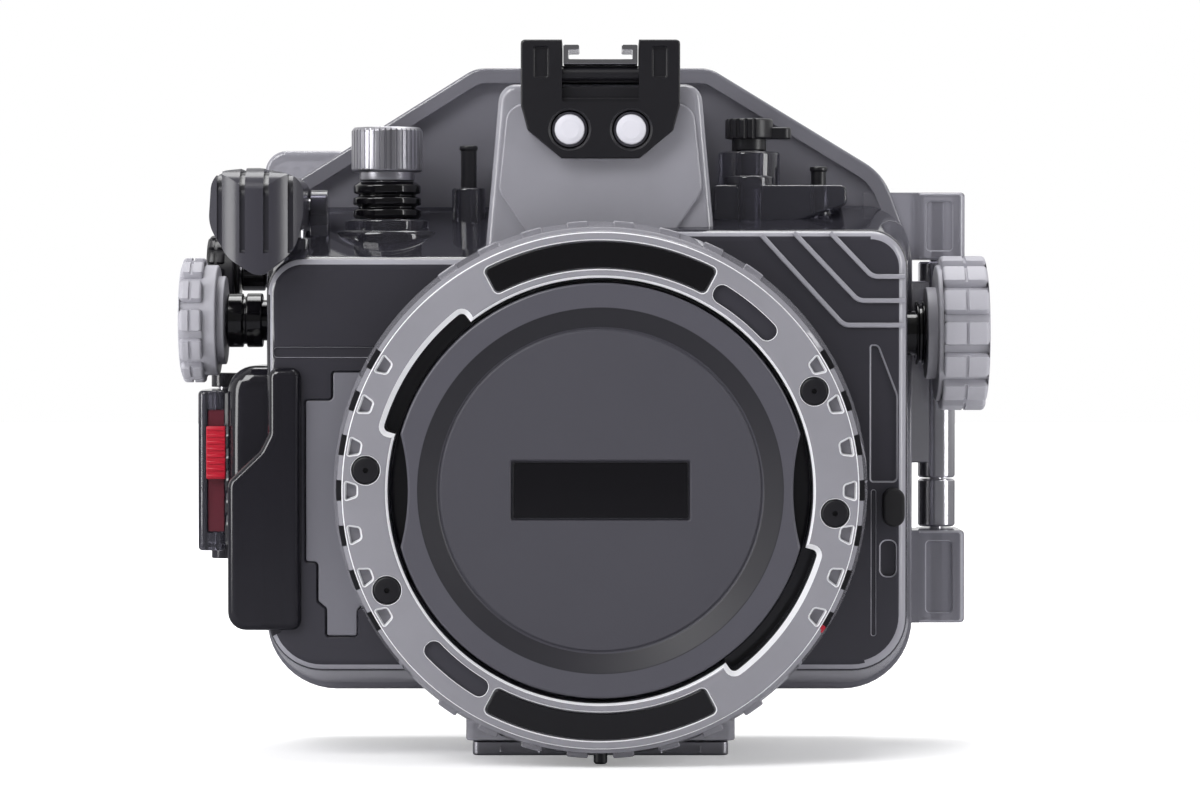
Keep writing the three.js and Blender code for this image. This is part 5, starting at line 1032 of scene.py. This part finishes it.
finish("door_shell", doorBody, "door", "smoked_polycarbonate", "rear_door", material=darkPolycarbonate,
    zones=[
    (palePolycarbonate, lambda spot, normal: spot.x < -56.5 and spot.z > 112.9 and spot.y > 16.9)])
sealRing = cut(slab(flangeOutline(1.6), 14.15, 15.7, "Y", 0.5, 0.3, 4), slab(flangeOutline(3), 12, 18, "Y"))
finish("door_gasket", sealRing, "door", "black_rubber", "door_seal")
for name, pane in panes.items():
    sheet = slab(paneOutline(name), pane["face"] - 1.4, pane["face"], "Y", 0.1, 0.35, 3)
    finish(f"{name}_pane", sheet, "door", "window", f"{name}_window")
headShape = cut(lathe([(0, 38.6), (1.5, 38.6), (1.5, 39.6, 0.25), (0, 39.6)], "Y", (0, 0), 36),
    slab(circle(0.7, 0, 0, 6), 39, 41, "Y"))
finish("hood_screws", join(*spread(headShape, hoodScrews)), "door", "stainless")
print("door finished")

# Push buttons: a domed cap on a stem with a stop; five carry a raised arrow
arrows = {"left_arrow_button": 0, "up_arrow_button": 90, "right_arrow_button": 180, "play_button": 180,
    "down_arrow_button": 270}
arrowShape = slab(fillet([(1.9, 0, 0.3), (-1.1, 1.5, 0.3), (-1.1, -1.5, 0.3)], 3), 34.5, 35.1, "Y", 0, 0.2)
for name, (x, z) in buttons.items():
    pusher = lathe([(0, 21.3), (1.8, 21.3, 0.3), (1.8, 25.8), (2.8, 25.8, 0.2), (2.8, 26.6, 0.2), (1.8, 26.6),
        (1.8, 31.6), (4.2, 31.6, 0.2), (4.2, 34.1, 0.5), (3, 34.8, 2), (0, 34.8)], "Y", (x, z), 64)
    if name in arrows:
        pusher = join(pusher, moved(turned(twin(arrowShape), -arrows[name], "Y"), x, 0, z))
    finish(name.replace("_button", "_push"), pusher, name + "_key", "black_abs", name,
           zones=[(greyNylon, lambda spot, normal: spot.y > 35)])
bpy.data.objects.remove(arrowShape)
print("buttons finished")

# Base: metal plate with a hole for the thread, tray for the camera, lock pin and side plug
footPlate = slab(rectangle(-28.5, 28.5, -20, 13.6, 1.5, 6), 0, 3, "Z", 0.5, 0.25, 4)
footPlate = cut(footPlate, pocket(circle(3.2, 0, -9), 0, 5, "Z", 1, flare=0.6, over=2),
    *[rod(2.6, -1, 1.3, "Z", (x, y), 0) for x in (-22, 22) for y in (-14, 8)],
    *[slab(rectangle(x - 4.5, x + 4.5, -21, -18.6, 0.5), 0.6, 2.2, "Z") for x in (-18, 18)])
finish("foot_plate", footPlate, "housing", "grey_aluminium", "base_plate")
trayBody = slab(rectangle(-48, 48, -18, 10, 4, 8), 24.3, 26.9, "Z", 0.2, 0.4, 3)
trayBody = cut(trayBody, slab(rectangle(-12, 12, -12.2, -5.8, 3.2, 10), 23, 28, "Z"))
trayBody = join(trayBody, *[block(x - 2.5, x + 2.5, -18, -15.4, 25, 33.3, 0.4, 0.5) for x in (-43, 43)])
finish("camera_seat", trayBody, "housing", "black_abs", "camera_tray")
finish("lock_pin_rod", lathe([(0, 0.4), (1.1, 0.4), (1.5, 0.8, 0.2), (1.5, 8), (0, 8)], "Z", lockAxis, 48),
    "ring_lock", "black_abs", "lock_pin")
plug = slab(rectangle(62.2, 67, 51.6, 60.1, 2.4, 10), -32.9, -30.3, "Y", 0.7, 0.1, 4)
finish("side_plug_cap", plug, "housing", "black_rubber", "side_plug")

# Black foam that lines the inside of the front plate, with gaps for the port and the window over the grip
foam = {"front": -25.8, "back": -24.9, "inset": 6.5}
lining = [(x, max(z, 25.5)) for x, z in frontOutline(0.1, foam["inset"])]
liner = cut(
    slab(lining, foam["front"], foam["back"], "Y"), rod(47.6, -28, -22, "Y", portAxis, 0, 120),
    slab(rectangle(-64.4, -51.6, 29, 84.6, 1.5), -28, -22, "Y"),
)
finish("front_liner", liner, "housing", "black_rubber", material=blackFoam)
print("base finished")

# The nodes whose shape stays
for name, part in frame["nodes"].items():
    if name not in replacedNodes:
        part.data.materials.clear()
        part.data.materials.append(slotMaterials[nodeSlots[name]])
print("kept nodes dressed")

# Floor, light and camera
studio = {"floor": 3.0, "cameraY": -1.05, "cameraZ": 0.0993, "aimZ": 0.0789, "lens": 138.8}
floorMesh = bpy.data.meshes.new("studio_floor")
half = studio["floor"]
floorMesh.from_pydata([(-half, -half, 0), (half, -half, 0), (half, half, 0), (-half, half, 0)], [],
    [(0, 1, 2, 3)])
floor = bpy.data.objects.new("studio_floor", floorMesh)
scene.collection.objects.link(floor)
paper = bpy.data.materials.new("studio_paper")  # white paper that keeps the shadow
paper.use_nodes = True
tree = paper.node_tree
shader = tree.nodes["Principled BSDF"]
shader.inputs["Roughness"].default_value = 0.8
rays = addNode(tree, "LightPath")
tint = addNode(tree, "Mix", {"data_type": "RGBA", 6: linear("#f6f6f7"), 7: linear("#74747a")},
    {0: rays.outputs["Is Glossy Ray"]})
tree.links.new(tint.outputs[2], shader.inputs["Base Color"])  # mirrored darker: black faces stay black
place = addNode(tree, "TexCoord").outputs["Object"]
away = addNode(tree, "VectorMath", {"operation": "LENGTH"}, {0: place})
far = addNode(tree, "MapRange", {1: 0.16, 2: 0.7, 3: 0.25, 4: 1.0}, {0: away.outputs["Value"]})
lift = addNode(tree, "Math", {"operation": "MULTIPLY"}, {0: rays.outputs["Is Camera Ray"], 1: far.outputs[0]})
tree.links.new(lift.outputs[0], shader.inputs["Emission Strength"])
shader.inputs["Emission Color"].default_value = (1, 1, 1, 1)
floorMesh.materials.append(paper)

world = bpy.data.worlds.new("studio")
scene.world = world
world.use_nodes = True
tree = world.node_tree
sky = tree.nodes["Background"]
rays = addNode(tree, "LightPath")
through = addNode(tree, "Math", {"operation": "MULTIPLY", 1: 0.75}, {0: rays.outputs["Is Transmission Ray"]})
seen = addNode(tree, "Math", {"operation": "MAXIMUM"},
    {0: rays.outputs["Is Camera Ray"], 1: through.outputs[0]})
direction = addNode(tree, "TexCoord")
parts = addNode(tree, "SeparateXYZ", {}, {0: direction.outputs["Generated"]})
behind = addNode(tree, "MapRange", {1: -0.7, 2: 0.6, 3: 0.14, 4: 0.8}, {0: parts.outputs["Y"]})
strength = addNode(tree, "Mix", {}, {0: seen.outputs[0], 2: behind.outputs[0]})
strength.inputs[3].default_value = 1.0
tree.links.new(strength.outputs[0], sky.inputs["Strength"])
sky.inputs["Color"].default_value = (1, 1, 1, 1)


def softbox(name, place, aim, width, height, watts):
    lamp = bpy.data.lights.new(name, "AREA")
    lamp.shape = "RECTANGLE"
    lamp.size, lamp.size_y = width, height
    lamp.energy = watts
    holder = bpy.data.objects.new(name, lamp)
    holder.location = place
    holder.rotation_euler = (Vector(aim) - Vector(place)).to_track_quat("-Z", "Y").to_euler()
    scene.collection.objects.link(holder)


middle = (0, 0, 0.08)
softbox("key", (-0.55, -0.75, 0.95), middle, 0.6, 0.6, 9)
softbox("left_strip", (-0.9, -0.5, 0.25), middle, 0.34, 0.9, 6)
softbox("right_strip", (0.9, -0.45, 0.25), middle, 0.28, 0.9, 5)
softbox("top", (0.1, 0.25, 1.1), middle, 0.8, 0.5, 7)

lens = bpy.data.cameras.new("camera")
lens.lens = studio["lens"]
lens.sensor_width = 36
lens.clip_start = 0.05
camera = bpy.data.objects.new("camera", lens)
camera.location = (-0.0001, studio["cameraY"], studio["cameraZ"])
camera.rotation_euler = (Vector((-0.0001, 0, studio["aimZ"])) - camera.location).to_track_quat("-Z",
    "Y").to_euler()
scene.collection.objects.link(camera)
scene.camera = camera
scene.view_settings.view_transform = "Standard"

print("stage set")
